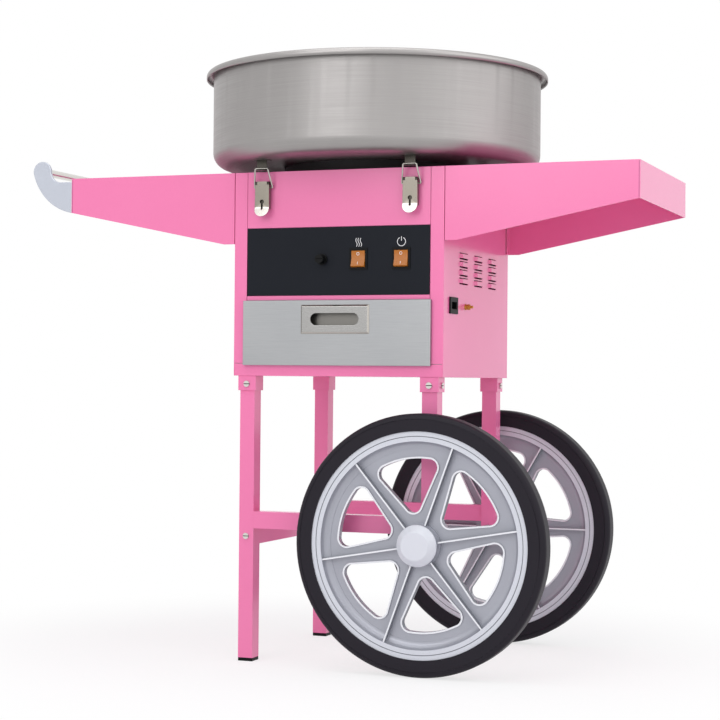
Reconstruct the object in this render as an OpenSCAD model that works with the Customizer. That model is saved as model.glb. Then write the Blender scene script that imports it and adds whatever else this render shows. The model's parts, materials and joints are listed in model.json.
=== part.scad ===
// Cotton candy cart: a cabinet with a bowl and spinner head, two side shelves, a push handle and two wheels.
// X runs along the cart with the handle at -X, Y runs from the front to the back, Z is up from the floor.

/* [Cabinet] */
// Cabinet width along X
body_w = 326; // [310:1:400]
// Cabinet depth along Y
body_d = 322; // [310:1:380]
// Height of the cabinet's underside above the floor
body_z = 421; // [410:1:480]
// Cabinet height
body_h = 300; // [298:1:360]
// Sheet metal thickness
sheet = 1.5; // [1:0.1:2]
// Width of the folded strip at each cabinet corner
strip_w = 20; // [16:1:22]
// Height of the base pan's lip
lip_h = 18; // [14:1:19]
// Visible seam between two panels
seam = 0.6; // [0.3:0.1:1]

/* [Controls] */
// Control panel height
panel_h = 99; // [90:1:105]
// Control panel thickness
panel_t = 2; // [1.5:0.1:3]
// Height of the control panel's lower edge above the cabinet's underside
panel_rise = 117.8; // [117:0.1:122]
// Height of the switches above the control panel's lower edge
control_rise = 52; // [45:1:58]
// Power switch, distance from the cabinet's right side
power_inset = 64.1; // [58:0.1:73]
// Distance between the two switches
switch_pitch = 65.5; // [60:0.1:72]
// Fuse holder, distance to the left of the heat switch
fuse_pitch = 56.4; // [48:0.1:64]
// Rocker width
rocker_w = 20.4; // [18:0.1:24]
// Rocker height
rocker_h = 24; // [21:0.5:28]
// Rocker throw, from off to on
rocker_throw = 16; // [10:1:20]

/* [Drawer] */
// Drawer front width
drawer_w = 291.6; // [288:0.1:300]
// Drawer front height
drawer_h = 94.8; // [90:0.1:97]
// Distance the drawer front stands out of the cabinet
drawer_proud = 6.3; // [5:0.1:9]
// Depth of the drawer tray
tray_d = 285; // [200:1:290]
// Pull plate width
pull_w = 107; // [100:1:130]
// Pull plate height
pull_h = 43; // [38:1:50]
// Pull slot length
slot_w = 75; // [60:1:85]
// Pull slot height
slot_h = 17.5; // [15:0.5:22]

/* [Bowl] */
// Bowl rim radius
rim_r = 260; // [255:1:300]
// Bowl rim height above the floor
rim_z = 880; // [860:1:930]
// Width of the rolled rim
rim_w = 11; // [9:0.5:14]
// Radius between the bowl's wall and its floor
bowl_corner_r = 21; // [18:1:37]
// Gap between the cabinet's top and the bowl's underside
bowl_gap = 17; // [17:0.5:24]

/* [Spinner] */
// Spinner head radius
head_r = 58; // [50:1:70]
// Spinner screen height
screen_h = 40; // [30:1:50]
// Spinner shaft radius
shaft_r = 6; // [5:0.5:8]
// Motor radius
motor_r = 52; // [40:1:58]
// Motor height
motor_h = 96; // [70:1:100]

/* [Latches] */
// Latch distance from the cabinet's side
latch_inset = 48; // [45:1:58]
// Lever length from its pivot to its tip
lever_l = 49; // [40:1:52]
// Lever width at the pivot
lever_w = 22; // [18:0.5:24]
// Bail wire diameter
wire_d = 2.2; // [1.8:0.1:2.6]

/* [Shelves] */
// Left shelf length
left_shelf_l = 276; // [230:1:320]
// Right shelf length
right_shelf_l = 281; // [230:1:320]
// Skirt height at the shelf's outer end
shelf_end_h = 52.5; // [51:0.5:70]
// Skirt height at the cabinet
shelf_root_h = 105.5; // [90:0.5:120]
// Level stretch of the skirt's lower edge at the cabinet
shelf_flat_l = 18; // [12:1:30]

/* [Handle] */
// Reach of the handle past the left shelf
handle_reach = 68; // [62:0.2:80]
// Radius of the bracket's round end
lobe_r = 15.5; // [13:0.5:17]
// Handle bar diameter
bar_d = 12; // [10:0.5:16]
// Thickness of each bracket
bracket_t = 5; // [4:0.5:16]

/* [Stand] */
// Leg tube width
leg_w = 23; // [20:0.5:25]
// Wall of the leg and brace tubes
tube_t = 1.5; // [1:0.1:2]
// Leg middle, distance in from the cabinet's left and right sides
leg_inset_x = 21; // [18:0.5:27]
// Leg middle, distance in from the cabinet's front and rear
leg_inset_y = 15.5; // [15:0.5:21]
// Height of the leg sockets
socket_h = 21.5; // [18:0.5:30]
// Wall of the leg sockets
socket_t = 2.4; // [1.5:0.1:2.6]
// Brace tube height
brace_h = 25; // [20:1:28]
// Height of the front and rear braces above the floor
brace_z = 196; // [190:1:240]
// Height of the left brace above the floor
left_brace_z = 172; // [150:1:180]

/* [Wheels] */
// Tyre radius
wheel_r = 185; // [178:1:188]
// Wheel middle plane, distance out from the cabinet's front and rear
wheel_out = 29; // [27:1:44]
// Tyre width
tyre_w = 34; // [30:1:38]
// Radial thickness of the tyre
tyre_h = 25; // [20:1:28]
// Number of spokes
spokes = 6; // [5:1:7]
// Axle diameter
axle_d = 12; // [10:0.5:16]
// Hub cap radius
hub_cap_r = 29.5; // [28:0.5:32]
// Turn of the front wheel's spokes
front_wheel_turn = 10; // [0:1:60]
// Turn of the rear wheel's spokes
rear_wheel_turn = 0; // [0:1:60]

/* [Fits] */
// Radial clearance of a shaft that turns in its hole
running = 0.06; // [0.03:0.01:0.1]
// Clearance between pieces that move past each other
gap = 0.4; // [0.3:0.05:0.6]
// Clearance of a fixed piece in its hole
snug = 0.1; // [0.05:0.01:0.2]

/* [Hidden] */
$fn = 96;

// Overrun of every cut past the face it opens
cut = 1;

// Cabinet planes
half_w = body_w / 2;
half_d = body_d / 2;
top_z = body_z + body_h;
inner_w = half_w - sheet;
power_x = half_w - power_inset;
heat_x = power_x - switch_pitch;
fuse_x = fuse_pitch - heat_x;
latch_x = half_w - latch_inset;
leg_x = half_w - leg_inset_x;
leg_y = half_d - leg_inset_y;
wheel_y = half_d + wheel_out;
face_w = half_w - strip_w - seam;
cart_x = (half_w + left_shelf_l + handle_reach - half_w - right_shelf_l) / 2;

// Louvres in the right panel: columns and rows, size of one, pitch and place on the panel
louvre_columns = 3;
louvre_rows = 4;
louvre_l = 40;
louvre_h = 9.6;
louvre_bridge_h = 6.4;
louvre_ramp = 5;
louvre_depth = 3.4;
louvre_pitch_y = 72;
louvre_pitch_z = 12.2;
louvre_y = 4;
louvre_top_share = 0.393;
louvre_top = body_h * louvre_top_share;

// Mains inlet and bonding stud, both on the right panel
inlet_y = 118;
inlet_rise_share = 0.345;
inlet_rise = body_h * inlet_rise_share;
inlet_w = 36;
inlet_h = 24;
inlet_flange = 2.5;
inlet_border = 4;
inlet_depth = 24;
inlet_recess = 15;
inlet_rim = 3;
inlet_pin_w = 2;
inlet_pin_h = 4;
inlet_pin_l = 8;
inlet_pin_pitch = 7;
stud_y = 59;
stud_r = 2;
stud_out = 12;
stud_in = 9;
nut_r = 4;
nut_t = 2.8;
washer_r = 4.6;
washer_t = 0.8;
stud_nut_gap = 4.4;

// Control panel pieces
panel_z = body_z + panel_rise;
control_z = panel_z + control_rise;
panel_half_w = face_w - seam;
bezel_t = 2;
bezel_lip = 1.6;
bezel_proud = 1.4;
bezel_depth = 24;
rocker_pin_r = 1.2;
rocker_crown = 4.6;
rocker_dip = 2.2;
rocker_back = 7;
fuse_collar_r = 8;
fuse_collar_t = 3;
fuse_body_r = 6.6;
fuse_body_l = 32;
fuse_bore_r = 5;
fuse_cap_r = 6.4;
fuse_cap_l = 11;
fuse_stem_l = 20;
fuse_slot_w = 1.6;
fuse_slot_d = 1.5;

// Drawer pieces
drawer_z = body_z + lip_h - 2 * sheet + seam;
drawer_top = drawer_z + drawer_h;
tray_half_w = face_w - 4 * sheet;
tray_t = 1.2;
tray_side_h = 74;
runner_w = 30;
runner_t = 2;
tray_z = body_z + lip_h + 2 * gap + sheet;
tray_front = -half_d - drawer_proud + sheet;
pull_t = 3;
pull_bevel = 3;
pull_wall = 1.2;
pull_pocket_d = 13;
pull_rise = 67;
pull_z = drawer_z + pull_rise;

// Moves a piece from the cabinet's middle to the cart's middle
module place() { translate([cart_x, 0, 0]) children(); }

// A box between two corners
module box(low, high) { translate(low) cube(high - low); }

// A shape drawn in X and Z, made solid from y towards the front over thickness t
module towards_front(y, t) { translate([0, y, 0]) rotate([90, 0, 0]) linear_extrude(t) children(); }

// A shape drawn in Y and Z, made solid from x towards +X over thickness t
module towards_right(x, t) { translate([x, 0, 0]) rotate([90, 0, 90]) linear_extrude(t) children(); }

// A round rod between two points
module rod(p, q, r) {
    d = q - p;
    translate(p) rotate([0, acos(d.z / norm(d)), atan2(d.y, d.x)]) cylinder(h = norm(d), r = r);
}

// A slot with round ends, drawn around its middle
module slot_shape(l, h) {
    square([l - h, h], center = true);
    for (s = [-1, 1]) translate([s * (l - h) / 2, 0]) circle(d = h);
}

// Both copies of a piece, mirrored across the cabinet's middle in X
module both_x() { for (s = [0, 1]) mirror([s, 0, 0]) children(); }

// Both copies of a piece, mirrored across the cabinet's middle in Y
module both_y() { for (s = [0, 1]) mirror([0, s, 0]) children(); }

// Cabinet

// The right hand side sheet with its folded strips
module side_sheet() {
    box([inner_w, -half_d, body_z], [half_w, half_d, top_z]);
    both_y() box([half_w - strip_w, -half_d, body_z + lip_h + seam], [half_w, sheet - half_d, top_z]);
}

// Moves a piece to each louvre
module at_louvres() {
    for (i = [0 : louvre_columns - 1], j = [0 : louvre_rows - 1])
        translate([0, louvre_y + (i - (louvre_columns - 1) / 2) * louvre_pitch_y,
            top_z - louvre_top - j * louvre_pitch_z]) children();
}

// One pressed bridge, open above and below
module louvre_bridge() {
    end_y = louvre_l / 2;
    top_y = end_y - louvre_ramp;
    translate([0, 0, -(louvre_h + louvre_bridge_h) / 2]) linear_extrude(louvre_bridge_h)
        polygon([[half_w, -end_y - sheet], [half_w, -end_y], [half_w + louvre_depth, -top_y],
            [half_w + louvre_depth, top_y], [half_w, end_y], [half_w, end_y + sheet], [inner_w, end_y + sheet],
            [inner_w, end_y], [inner_w + louvre_depth, top_y], [inner_w + louvre_depth, -top_y],
            [inner_w, -end_y], [inner_w, -end_y - sheet]]);
}

// The slot behind one bridge
module louvre_slot() { box([inner_w - cut, -louvre_l / 2, -louvre_h], [half_w + cut, louvre_l / 2, 0]); }

module side_panel_left() {
    color("hotpink") place() mirror([1, 0, 0]) side_sheet();
}

module side_panel_right() {
    color("hotpink") place() {
        difference() {
            side_sheet();
            at_louvres() louvre_slot();
            box([inner_w - cut, -inlet_y - inlet_w / 2 + inlet_border - snug,
                body_z + inlet_rise - inlet_h / 2 + inlet_border - snug],
                [half_w + cut, -inlet_y + inlet_w / 2 - inlet_border + snug,
                body_z + inlet_rise + inlet_h / 2 - inlet_border + snug]);
            translate([inner_w - cut, -stud_y, body_z + inlet_rise]) rotate([0, 90, 0])
                cylinder(h = sheet + 2 * cut, r = stud_r + snug);
        }
        at_louvres() louvre_bridge();
    }
}

// Openings for the two switches and the fuse holder
module control_openings(y, t) {
    for (x = [heat_x, power_x]) box([x - rocker_w / 2 - bezel_t - snug, y - t - cut,
        control_z - rocker_h / 2 - bezel_t - snug], [x + rocker_w / 2 + bezel_t + snug, y + cut,
        control_z + rocker_h / 2 + bezel_t + snug]);
    translate([-fuse_x, y + cut, control_z]) rotate([90, 0, 0])
        cylinder(h = t + 2 * cut, r = fuse_body_r + snug);
}

module front_panel() {
    recess_y = panel_t - half_d;
    low_z = drawer_top + seam;
    high_z = panel_z + panel_h + seam;
    color("hotpink") place() difference() {
        union() {
            box([-face_w, -half_d, high_z], [face_w, sheet - half_d, top_z]);
            box([-face_w, -half_d, low_z], [face_w, sheet - half_d, panel_z - seam]);
            box([-face_w, recess_y, panel_z - seam - sheet], [face_w, recess_y + sheet, high_z + sheet]);
            box([-face_w, sheet - half_d, high_z], [face_w, recess_y, high_z + sheet]);
            box([-face_w, sheet - half_d, panel_z - seam - sheet], [face_w, recess_y, panel_z - seam]);
        }
        control_openings(recess_y + sheet, sheet);
    }
}

module control_panel() {
    color("darkslategray") place() difference() {
        box([-panel_half_w, -half_d, panel_z], [panel_half_w, panel_t - half_d, panel_z + panel_h]);
        control_openings(panel_t - half_d, panel_t);
    }
}

module back_panel() {
    color("hotpink") place()
        box([-face_w, half_d - sheet, body_z + lip_h + seam], [face_w, half_d, top_z]);
}

module top_plate() {
    color("hotpink") place() difference() {
        box([-inner_w, sheet - half_d, top_z - sheet], [inner_w, half_d - sheet, top_z]);
        translate([0, 0, top_z - sheet - cut]) cylinder(h = sheet + 2 * cut, r = collar_r);
    }
}

module base_pan() {
    color("hotpink") place() {
        box([-inner_w, -half_d, body_z], [inner_w, half_d, body_z + sheet]);
        both_y() box([-inner_w, -half_d, body_z], [inner_w, sheet - half_d, body_z + lip_h]);
    }
}

// Controls

// A box around one switch, wider than the rocker by grow, between two planes
module switch_box(grow, y0, y1) {
    box([-rocker_w / 2 - grow, y0, control_z - rocker_h / 2 - grow],
        [rocker_w / 2 + grow, y1, control_z + rocker_h / 2 + grow]);
}

module switch_bezels() {
    color("black") place() for (x = [heat_x, power_x]) translate([x, 0, 0]) difference() {
        union() {
            switch_box(bezel_t + bezel_lip, -half_d - bezel_proud, -half_d);
            switch_box(bezel_t, -half_d, bezel_depth - half_d);
        }
        switch_box(gap, -half_d - bezel_proud - cut, bezel_depth - half_d - bezel_t);
        translate([-(rocker_w + bezel_t) / 2 - snug, -half_d, control_z]) rotate([0, 90, 0])
            cylinder(h = rocker_w + bezel_t + 2 * snug, r = rocker_pin_r + running);
    }
}

// One rocker, turned about its pins so that its upper half is pressed in
module rocker(x) {
    half_h = rocker_h / 2;
    translate([x, -half_d, control_z]) rotate([-rocker_throw / 2, 0, 0]) {
        intersection() {
            translate([-rocker_w / 2, 0, 0]) rotate([0, 90, 0]) cylinder(h = rocker_w, r = half_h);
            towards_right(-rocker_w / 2, rocker_w) polygon([[rocker_back, -half_h], [rocker_back, half_h],
                [-rocker_crown, half_h], [-rocker_dip, 0], [-rocker_crown, -half_h]]);
        }
        translate([-(rocker_w + bezel_t) / 2, 0, 0]) rotate([0, 90, 0])
            cylinder(h = rocker_w + bezel_t, r = rocker_pin_r);
    }
}

module heat_rocker() { color("peru") place() rocker(heat_x); }

module power_rocker() { color("peru") place() rocker(power_x); }

// Turns a piece drawn along +Z so that it stands out of the control panel at the fuse holder
module at_fuse() { translate([-fuse_x, -half_d, control_z]) rotate([90, 0, 0]) children(); }

module fuse_holder() {
    color("black") place() at_fuse() difference() {
        union() {
            cylinder(h = fuse_collar_t, r = fuse_collar_r);
            translate([0, 0, -fuse_body_l]) cylinder(h = fuse_body_l, r = fuse_body_r);
        }
        translate([0, 0, -fuse_stem_l - gap])
            cylinder(h = fuse_stem_l + fuse_collar_t + 2 * cut, r = fuse_bore_r);
    }
}

module fuse_cap() {
    color("black") place() at_fuse() difference() {
        union() {
            translate([0, 0, fuse_collar_t + gap]) cylinder(h = fuse_cap_l, r = fuse_cap_r);
            translate([0, 0, -fuse_stem_l])
                cylinder(h = fuse_stem_l + fuse_collar_t + cut, r = fuse_bore_r - running);
        }
        translate([-fuse_cap_r - cut, -fuse_slot_w / 2, fuse_collar_t + gap + fuse_cap_l - fuse_slot_d])
            cube([2 * (fuse_cap_r + cut), fuse_slot_w, fuse_slot_d + cut]);
    }
}

// A box centred on the mains inlet, narrower than its flange by shrink, between two planes
module inlet_box(shrink, x0, x1) {
    box([x0, -inlet_y - inlet_w / 2 + shrink, body_z + inlet_rise - inlet_h / 2 + shrink],
        [x1, -inlet_y + inlet_w / 2 - shrink, body_z + inlet_rise + inlet_h / 2 - shrink]);
}

module power_inlet() {
    back_x = half_w + inlet_flange - inlet_recess;
    color("black") place() {
        difference() {
            union() {
                inlet_box(0, half_w, half_w + inlet_flange);
                inlet_box(inlet_border, half_w - inlet_depth, half_w + inlet_flange);
            }
            inlet_box(inlet_border + inlet_rim, back_x, half_w + inlet_flange + cut);
        }
        for (i = [-1 : 1]) translate([back_x, i * inlet_pin_pitch - inlet_y - inlet_pin_w / 2,
            body_z + inlet_rise - inlet_pin_h / 2]) cube([inlet_pin_l, inlet_pin_w, inlet_pin_h]);
    }
}

module bonding_stud() {
    color("goldenrod") place() translate([half_w, -stud_y, body_z + inlet_rise]) rotate([0, 90, 0]) {
        translate([0, 0, -stud_in]) cylinder(h = stud_in + stud_out, r = stud_r);
        cylinder(h = washer_t, r = washer_r);
        translate([0, 0, washer_t]) cylinder(h = nut_t, r = nut_r, $fn = 6);
        translate([0, 0, stud_nut_gap]) cylinder(h = washer_t, r = washer_r);
        translate([0, 0, stud_nut_gap + washer_t]) cylinder(h = nut_t, r = nut_r, $fn = 6);
        translate([0, 0, -sheet - nut_t]) cylinder(h = nut_t, r = nut_r, $fn = 6);
    }
}

// Drawer

module drawer_runners() {
    color("silver") place() both_x() {
        box([inner_w - runner_w, sheet - half_d, tray_z - gap - runner_t],
            [inner_w, tray_d - half_d, tray_z - gap]);
        box([inner_w - runner_t, sheet - half_d, tray_z - gap],
            [inner_w, tray_d - half_d, tray_z + runner_w / 2]);
    }
}

module drawer_front() {
    low = [-drawer_w / 2, -half_d - drawer_proud, drawer_z];
    high = [drawer_w / 2, -half_d - gap, drawer_top];
    color("silver") place() difference() {
        box(low, high);
        box(low + [sheet, sheet, sheet], high + [-sheet, cut, -sheet]);
        pull_opening(low.y - cut, low.y + sheet + cut);
    }
}

// The hole for the pull's pocket, between two planes
module pull_opening(y0, y1) {
    w = (slot_w + slot_h) / 2 + snug;
    h = (slot_h + pull_h) / 4 + snug;
    box([-w, y0, pull_z - h], [w, y1, pull_z + h]);
}

module drawer_tray() {
    low = [-tray_half_w, tray_front, tray_z];
    high = [tray_half_w, tray_front + tray_d, tray_z + tray_side_h];
    color("silver") place() difference() {
        box(low, high);
        box(low + [tray_t, tray_t, tray_t], high + [-tray_t, -tray_t, cut]);
        pull_opening(low.y - cut, low.y + tray_t + cut);
    }
}

// The pull plate's bevelled section, l across, with its face towards -Y
module pull_section(l) {
    polygon([[-l / 2, 0], [l / 2, 0], [l / 2 - pull_bevel, -pull_t], [pull_bevel - l / 2, -pull_t]]);
}

module drawer_pull() {
    w = (slot_w + slot_h) / 2;
    h = (slot_h + pull_h) / 4;
    color("gainsboro") place() translate([0, -half_d - drawer_proud, pull_z]) difference() {
        union() {
            intersection() {
                translate([0, 0, -pull_h / 2]) linear_extrude(pull_h) pull_section(pull_w);
                rotate([0, 90, 0]) translate([0, 0, -pull_w / 2]) linear_extrude(pull_w) pull_section(pull_h);
            }
            box([-w, 0, -h], [w, pull_pocket_d, h]);
        }
        rotate([90, 0, 0]) translate([0, 0, -cut])
            linear_extrude(pull_t + 2 * cut) slot_shape(slot_w, slot_h);
        box([pull_wall - w, 0, pull_wall - h], [w - pull_wall, pull_pocket_d - pull_wall, h - pull_wall]);
    }
}

// Bowl and spinner values
bowl_t = 1.5;
bowl_z = top_z + bowl_gap;
wall_r = rim_r - rim_w;
roll_r = (rim_w + bowl_t) / 2;
roll_drop = 2.5;
bowl_hole_r = 40;
bowl_collar_h = 10;
seat_r = 140;
seat_w = 12;
collar_r = 30;
mount_t = 3;
mount_w = 124;
standoff_r = 5;
standoff_inset = 9;
standoff_h = 71;
mount_z = top_z - sheet - standoff_h - mount_t;
ring_r = 12;
ring_h = 8;
ring_count = 2;
ring_pitch = 14;
ring_rise = 22;
brush_w = 10;
brush_wall = 14;
brush_post = 12;
head_rise = 27;
head_t = 4;
head_z = bowl_z + head_rise;
head_hub_r = 14;
head_hub_h = 10;
screen_t = 1.5;
screen_inset = 2;
screen_slots = 24;
screen_slot_w = 4;
screen_slot_share = 0.7;
heater_inset = 10;
heater_t = 1.2;
heater_share = 0.75;
cap_hole_r = 24;
cap_lip_h = 4;
shaft_top = head_z + head_t + head_hub_h;

module bowl_seat() {
    color("dimgray") place() translate([0, 0, top_z]) difference() {
        cylinder(h = bowl_gap, r = seat_r);
        translate([0, 0, -cut]) cylinder(h = bowl_gap + 2 * cut, r = seat_r - seat_w);
    }
}

// Half of the bowl's section: floor, rounded corner, wall and rolled rim
module bowl_section() {
    corner = [wall_r - bowl_corner_r, bowl_z + bowl_corner_r];
    roll = [wall_r - bowl_t + roll_r, rim_z - roll_r];
    translate([bowl_hole_r, bowl_z]) square([corner.x - bowl_hole_r, bowl_t]);
    translate([bowl_hole_r, bowl_z]) square([bowl_t, bowl_collar_h]);
    translate([wall_r - bowl_t, corner.y]) square([bowl_t, roll.y - corner.y]);
    intersection() {
        translate(corner) difference() {
            circle(bowl_corner_r);
            circle(bowl_corner_r - bowl_t);
        }
        translate([corner.x, bowl_z]) square(bowl_corner_r);
    }
    intersection() {
        translate(roll) difference() {
            circle(roll_r);
            circle(roll_r - bowl_t);
        }
        translate([roll.x - roll_r, roll.y]) square([2 * roll_r, roll_r]);
    }
    translate([rim_r - bowl_t, roll.y - roll_drop]) square([bowl_t, roll_drop]);
}

module bowl() { color("lightgray") place() rotate_extrude() bowl_section(); }

module motor() {
    color("gray") place() translate([0, 0, mount_z - motor_h]) difference() {
        cylinder(h = motor_h, r = motor_r);
        translate([0, 0, motor_h / 3]) cylinder(h = motor_h, r = shaft_r + running);
    }
}

module motor_mount() {
    post = mount_w / 2 - standoff_inset;
    color("silver") place() {
        difference() {
            box([-mount_w / 2, -mount_w / 2, mount_z], [mount_w / 2, mount_w / 2, mount_z + mount_t]);
            translate([0, 0, mount_z - cut]) cylinder(h = mount_t + 2 * cut, r = shaft_r + cut);
        }
        for (x = [-post, post], y = [-post, post]) translate([x, y, mount_z + mount_t])
            cylinder(h = standoff_h, r = standoff_r);
    }
}

// Moves a piece to each slip ring
module at_rings() {
    for (i = [0 : ring_count - 1])
        translate([0, 0, mount_z + mount_t + ring_rise + i * ring_pitch]) children();
}

module slip_rings() {
    color("goldenrod") place() at_rings() difference() {
        cylinder(h = ring_h, r = ring_r);
        translate([0, 0, -cut]) cylinder(h = ring_h + 2 * cut, r = shaft_r);
    }
}

module brush_holder() {
    back = ring_r + brush_wall;
    color("saddlebrown") place() {
        box([back, -brush_w / 2, mount_z + mount_t], [back + brush_post, brush_w / 2,
            mount_z + mount_t + ring_rise + ring_count * ring_pitch]);
        at_rings() box([ring_r + gap, -brush_w / 4, ring_h / 4], [back, brush_w / 4, ring_h * 3 / 4]);
    }
}

module spinner_shaft() {
    low_z = mount_z - motor_h * 2 / 3 + cut;
    color("silver") place() translate([0, 0, low_z]) cylinder(h = shaft_top - low_z, r = shaft_r);
}

module spinner_base() {
    color("silver") place() difference() {
        union() {
            translate([0, 0, head_z]) cylinder(h = head_t, r = head_r);
            translate([0, 0, head_z - head_hub_h]) cylinder(h = 2 * head_hub_h + head_t, r = head_hub_r);
        }
        translate([0, 0, head_z - head_hub_h - cut])
            cylinder(h = 2 * head_hub_h + head_t + 2 * cut, r = shaft_r);
    }
}

// A thin upright ring on the spinner's base
module head_ring(r, t, h) {
    translate([0, 0, head_z + head_t]) difference() {
        cylinder(h = h, r = r);
        translate([0, 0, -cut]) cylinder(h = h + 2 * cut, r = r - t);
    }
}

module heater_band() {
    color("dimgray") place() head_ring(head_r - heater_inset, heater_t, screen_h * heater_share);
}

module spinner_screen() {
    slot_l = screen_h * screen_slot_share;
    color("lightgray") place() difference() {
        head_ring(head_r - screen_inset, screen_t, screen_h);
        for (i = [0 : screen_slots - 1]) rotate([0, 0, i * 360 / screen_slots])
            translate([head_r - screen_inset - screen_t - cut, -screen_slot_w / 2,
                head_z + head_t + (screen_h - slot_l) / 2]) cube([screen_t + 2 * cut, screen_slot_w, slot_l]);
    }
}

module spinner_cap() {
    color("silver") place() translate([0, 0, head_z + head_t + screen_h]) difference() {
        union() {
            cylinder(h = head_t, r = head_r);
            cylinder(h = head_t + cap_lip_h, r = cap_hole_r + screen_inset);
        }
        translate([0, 0, -cut]) cylinder(h = head_t + cap_lip_h + 2 * cut, r = cap_hole_r);
    }
}

// Latch values: places are measured out of the cabinet's face and down from its top
latch_ear_t = 1.5;
lever_t = 1.5;
pivot_out = 6;
pivot_drop = 18;
pivot_r = 1.5;
pivot_z = top_z - pivot_drop;
lever_out = 9.8;
lever_rise = 3;
lever_flare_share = 0.06;
ear_out = 3;
base_drop = 5;
base_rise = 2;
ear_drop = 11;
bail_out = 5;
bail_drop = 6;
bail_foot_w = 31;
bail_top_w = 22;
corner_swell_share = 1.1;
keeper_w = 16;
keeper_flange_w = 26;
keeper_t = 1.2;
keeper_out = 11;
keeper_lip = 4.8;
keeper_z = top_z + sheet / 2;
wire_r = wire_d / 2;
bar_out = keeper_out + keeper_t + gap + wire_r;
bar_z = keeper_z + keeper_t + gap + wire_r;
base_ear_x = lever_w / 2 - lever_t - gap;
keyhole_r = 2;
keyhole_drop = 28;

// Moves a piece to one latch; its face is y = 0 and it stands out towards -Y
module at_latch(rear, right) {
    rotate([0, 0, rear ? 180 : 0]) translate([(right == rear ? -1 : 1) * latch_x, -half_d, 0]) children();
}

// All four latch places
module at_latches() { for (rear = [false, true], right = [false, true]) at_latch(rear, right) children(); }

// A pin or hole across a latch, centred on its middle
module latch_pin(out, z, l, r) { translate([-l / 2, -out, z]) rotate([0, 90, 0]) cylinder(h = l, r = r); }

module bowl_keepers() {
    color("silver") place() at_latches() {
        box([-keeper_flange_w / 2, -keeper_out - keeper_t, bowl_z - keeper_t],
            [keeper_flange_w / 2, -pivot_out, bowl_z]);
        box([-keeper_w / 2, -keeper_out - keeper_t, keeper_z], [keeper_w / 2, -keeper_out, bowl_z]);
        box([-keeper_w / 2, -keeper_out - keeper_t - keeper_lip, keeper_z],
            [keeper_w / 2, -keeper_out, keeper_z + keeper_t]);
    }
}

module latch_bases() {
    color("silver") place() at_latches() {
        box([-base_ear_x, -keeper_t, pivot_z - lever_l + lever_w], [base_ear_x, 0, pivot_z + base_rise]);
        both_x() box([base_ear_x - latch_ear_t, -pivot_out - ear_out, pivot_z - base_drop],
            [base_ear_x, 0, pivot_z + base_rise]);
        latch_pin(pivot_out, pivot_z, lever_w + gap, pivot_r);
    }
}

// One lever, closed: a flat plate with a round end and two ears
module lever() {
    end_r = lever_w / 2 * (1 + lever_flare_share);
    end_z = pivot_z - lever_l + end_r;
    difference() {
        union() {
            towards_front(-lever_out, lever_t) {
                polygon([[-lever_w / 2, pivot_z + lever_rise], [lever_w / 2, pivot_z + lever_rise],
                    [end_r, end_z], [-end_r, end_z]]);
                translate([0, end_z]) circle(end_r);
            }
            both_x() box([lever_w / 2 - lever_t, -lever_out - lever_t / 2, pivot_z - ear_drop], [lever_w / 2,
                -ear_out, pivot_z + lever_rise]);
        }
        latch_pin(pivot_out, pivot_z, lever_w + 2 * cut, pivot_r + running);
        latch_pin(bail_out, pivot_z - bail_drop, lever_w + 2 * cut, wire_r + running);
        translate([0, cut - lever_out, pivot_z - keyhole_drop]) rotate([90, 0, 0])
            cylinder(h = lever_t + 2 * cut, r = keyhole_r);
    }
}

// One bail, closed: a bar over the keeper's lip, two flared legs and two feet in the lever's ears
module bail() {
    both_x() {
        foot = [bail_foot_w / 2 - wire_r, -bail_out, pivot_z - bail_drop];
        top = [bail_top_w / 2 - wire_r, -bar_out, bar_z];
        rod(foot, top, wire_r);
        rod([lever_w / 2 - lever_t, foot.y, foot.z], foot, wire_r);
        rod([0, top.y, top.z], top, wire_r);
        translate(foot) sphere(wire_r * corner_swell_share);
        translate(top) sphere(wire_r * corner_swell_share);
    }
}

module lever_front_left() { color("silver") place() at_latch(false, false) lever(); }

module lever_front_right() { color("silver") place() at_latch(false, true) lever(); }

module lever_rear_left() { color("silver") place() at_latch(true, false) lever(); }

module lever_rear_right() { color("silver") place() at_latch(true, true) lever(); }

module bail_front_left() { color("silver") place() at_latch(false, false) bail(); }

module bail_front_right() { color("silver") place() at_latch(false, true) bail(); }

module bail_rear_left() { color("silver") place() at_latch(true, false) bail(); }

module bail_rear_right() { color("silver") place() at_latch(true, true) bail(); }

// Shelves

shelf_flange = 12;

// A shelf on the right hand side, open below
module shelf(l) {
    end_x = half_w + l;
    both_y() {
        towards_front(sheet - half_d, sheet) polygon([[half_w, top_z], [end_x, top_z],
            [end_x, top_z - shelf_end_h], [half_w + shelf_flat_l, top_z - shelf_root_h],
            [half_w, top_z - shelf_root_h]]);
        box([half_w, -half_d, top_z - shelf_root_h], [half_w + sheet, shelf_flange - half_d, top_z]);
    }
    box([half_w, -half_d, top_z - sheet], [end_x, half_d, top_z]);
    box([half_w, -half_d, top_z - shelf_flange], [half_w + sheet, half_d, top_z]);
    box([end_x - sheet, -half_d, top_z - shelf_end_h], [end_x, half_d, top_z]);
}

module shelf_left() { color("hotpink") place() mirror([1, 0, 0]) shelf(left_shelf_l); }

module shelf_right() { color("hotpink") place() shelf(right_shelf_l); }

// Handle values: places are measured out of the left shelf's end and from its top
horn_arc_r = 83;
throat_r = 17.2;
horn_drop = 4.7;
bar_seat = 3;
horn_foot = [0, -shelf_end_h];
lobe = [handle_reach - lobe_r, throat_r - horn_drop];
throat = [lobe.x - lobe_r - throat_r, lobe.y];

// The middle of a circle that passes through p and touches a smaller circle at q from outside it
function arc_middle(p, q, r, small_r) =
    let (d = norm(q - p), rest = r - small_r)
    let (a = (d * d + r * r - rest * rest) / (2 * d), h = sqrt(r * r - a * a))
    p + (a * (q - p) + h * [p.y - q.y, q.x - p.x]) / d;

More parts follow.
